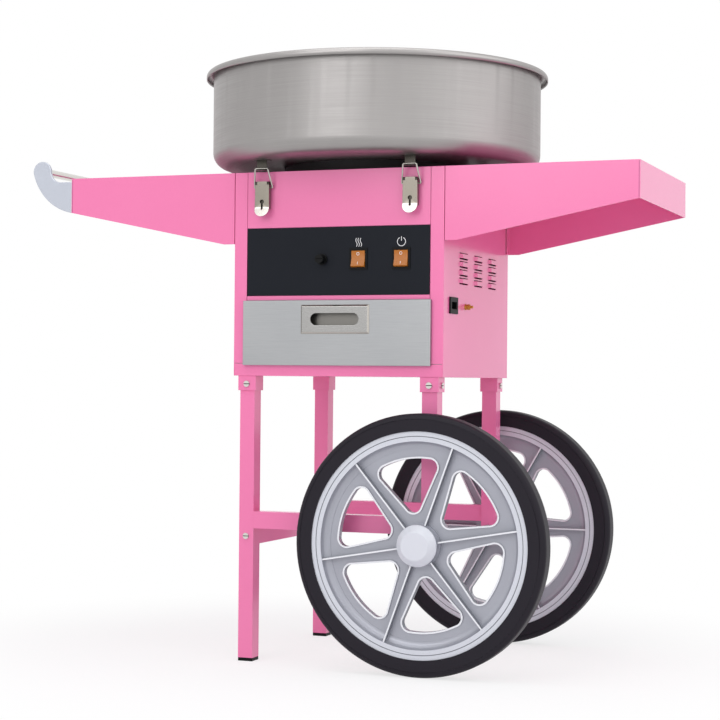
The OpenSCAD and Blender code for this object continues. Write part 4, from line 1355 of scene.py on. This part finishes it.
@dataclass
class Studio:
    """Pale floor, white surround and soft lamps."""

    floor_r: float = 14.0
    floor_steps: int = 96
    floor_colour: tuple[float, float, float, float] = (0.93, 0.91, 0.94, 1.0)
    floor_roughness: float = 0.9
    sky: float = 0.56
    shadow_share: float = 0.7
    fade_from: float = 0.35
    fade_to: float = 0.85
    lamps: tuple[tuple[str, tuple[float, float, float], float, float], ...] = (
        ("side", (2.3, -0.1, 2.0), 3.0, 23.0),
        ("front", (-0.5, -2.7, 1.85), 2.0, 21.0),
        ("right_front", (2.0, -2.3, 0.9), 3.4, 8.0),
        ("top", (0.0, -0.5, 2.7), 2.2, 20.0),
    )
    aim: Vector = field(default_factory=lambda: Vector((0.05, 0.0, 0.45)))

    def build(self) -> None:
        """Makes the floor, the surround and the lamps."""
        bpy.context.scene.view_settings.view_transform = "Standard"
        self.surround()
        self.floor()
        for name, place, size, power in self.lamps:
            data = bpy.data.lights.new(name, "AREA")
            data.shape = "DISK"
            data.size = size
            data.energy = power
            lamp = bpy.data.objects.new(name, data)
            lamp.location = place
            lamp.rotation_euler = (self.aim - Vector(place)).to_track_quat("-Z", "Y").to_euler()
            bpy.context.scene.collection.objects.link(lamp)

    @staticmethod
    def seen(graph: Graph) -> bpy.types.NodeSocket:
        """Gives one where the camera or a reflection looks, and nought where light is gathered."""
        path = graph.add("ShaderNodeLightPath").outputs
        mirrored = graph.math("MAXIMUM", path["Is Glossy Ray"], path["Is Transmission Ray"])
        return graph.math("MAXIMUM", path["Is Camera Ray"], mirrored)

    def surround(self) -> None:
        """Makes the world white to the eye and softer as light."""
        world = bpy.data.worlds.new("surround")
        bpy.context.scene.world = world
        world.use_nodes = True
        graph = Graph(world.node_tree)
        back = world.node_tree.nodes["Background"]
        graph.fill(back, {"Color": WHITE})
        spread = graph.add("ShaderNodeMapRange")
        graph.fill(spread, {"To Min": self.sky, "To Max": 1.0})
        graph.join(self.seen(graph), spread.inputs["Value"])
        graph.join(spread.outputs["Result"], back.inputs["Strength"])

    def floor(self) -> None:
        """Makes the floor, which keeps a soft shadow."""
        mesh = bmesh.new()
        bmesh.ops.create_circle(mesh, cap_ends=True, segments=self.floor_steps, radius=self.floor_r)
        piece = piece_of("floor", mesh)
        material = bpy.data.materials.new("pale_floor")
        material.use_nodes = True
        graph = Graph(material.node_tree)
        out = material.node_tree.nodes["Material Output"]
        matt = material.node_tree.nodes["Principled BSDF"]
        graph.fill(matt, {"Base Color": self.floor_colour, "Roughness": self.floor_roughness})
        white = graph.add("ShaderNodeEmission")
        mix = graph.add("ShaderNodeMixShader")
        place = graph.add("ShaderNodeTexCoord").outputs["Object"]
        reach = graph.add("ShaderNodeVectorMath", operation="LENGTH")
        graph.join(place, reach.inputs[0])
        fade = graph.add("ShaderNodeMapRange", interpolation_type="SMOOTHSTEP")
        graph.fill(fade, {
            "From Min": self.fade_from, "From Max": self.fade_to, "To Min": self.shadow_share,
        })
        graph.join(reach.outputs["Value"], fade.inputs["Value"])
        graph.join(graph.math("MULTIPLY", self.seen(graph), fade.outputs["Result"]), mix.inputs[0])
        graph.join(matt.outputs[0], mix.inputs[1])
        graph.join(white.outputs[0], mix.inputs[2])
        graph.join(mix.outputs[0], out.inputs["Surface"])
        piece.data.materials.append(material)


def main() -> None:
    """Builds the scene in order."""
    logging.basicConfig(level=logging.INFO, format="%(message)s")
    Viewpoint().build()
    Studio().build()
    parts = (
        Cabinet(), Controls(), Drawer(), Bowl(), Latches(), Spinner(), Shelves(), Stand(), Wheel("front"),
        Wheel("rear"),
    )
    for part in parts:
        part.build()
        LOG.info("%s is dressed", type(part).__name__)


if __name__ == "__main__":
    main()
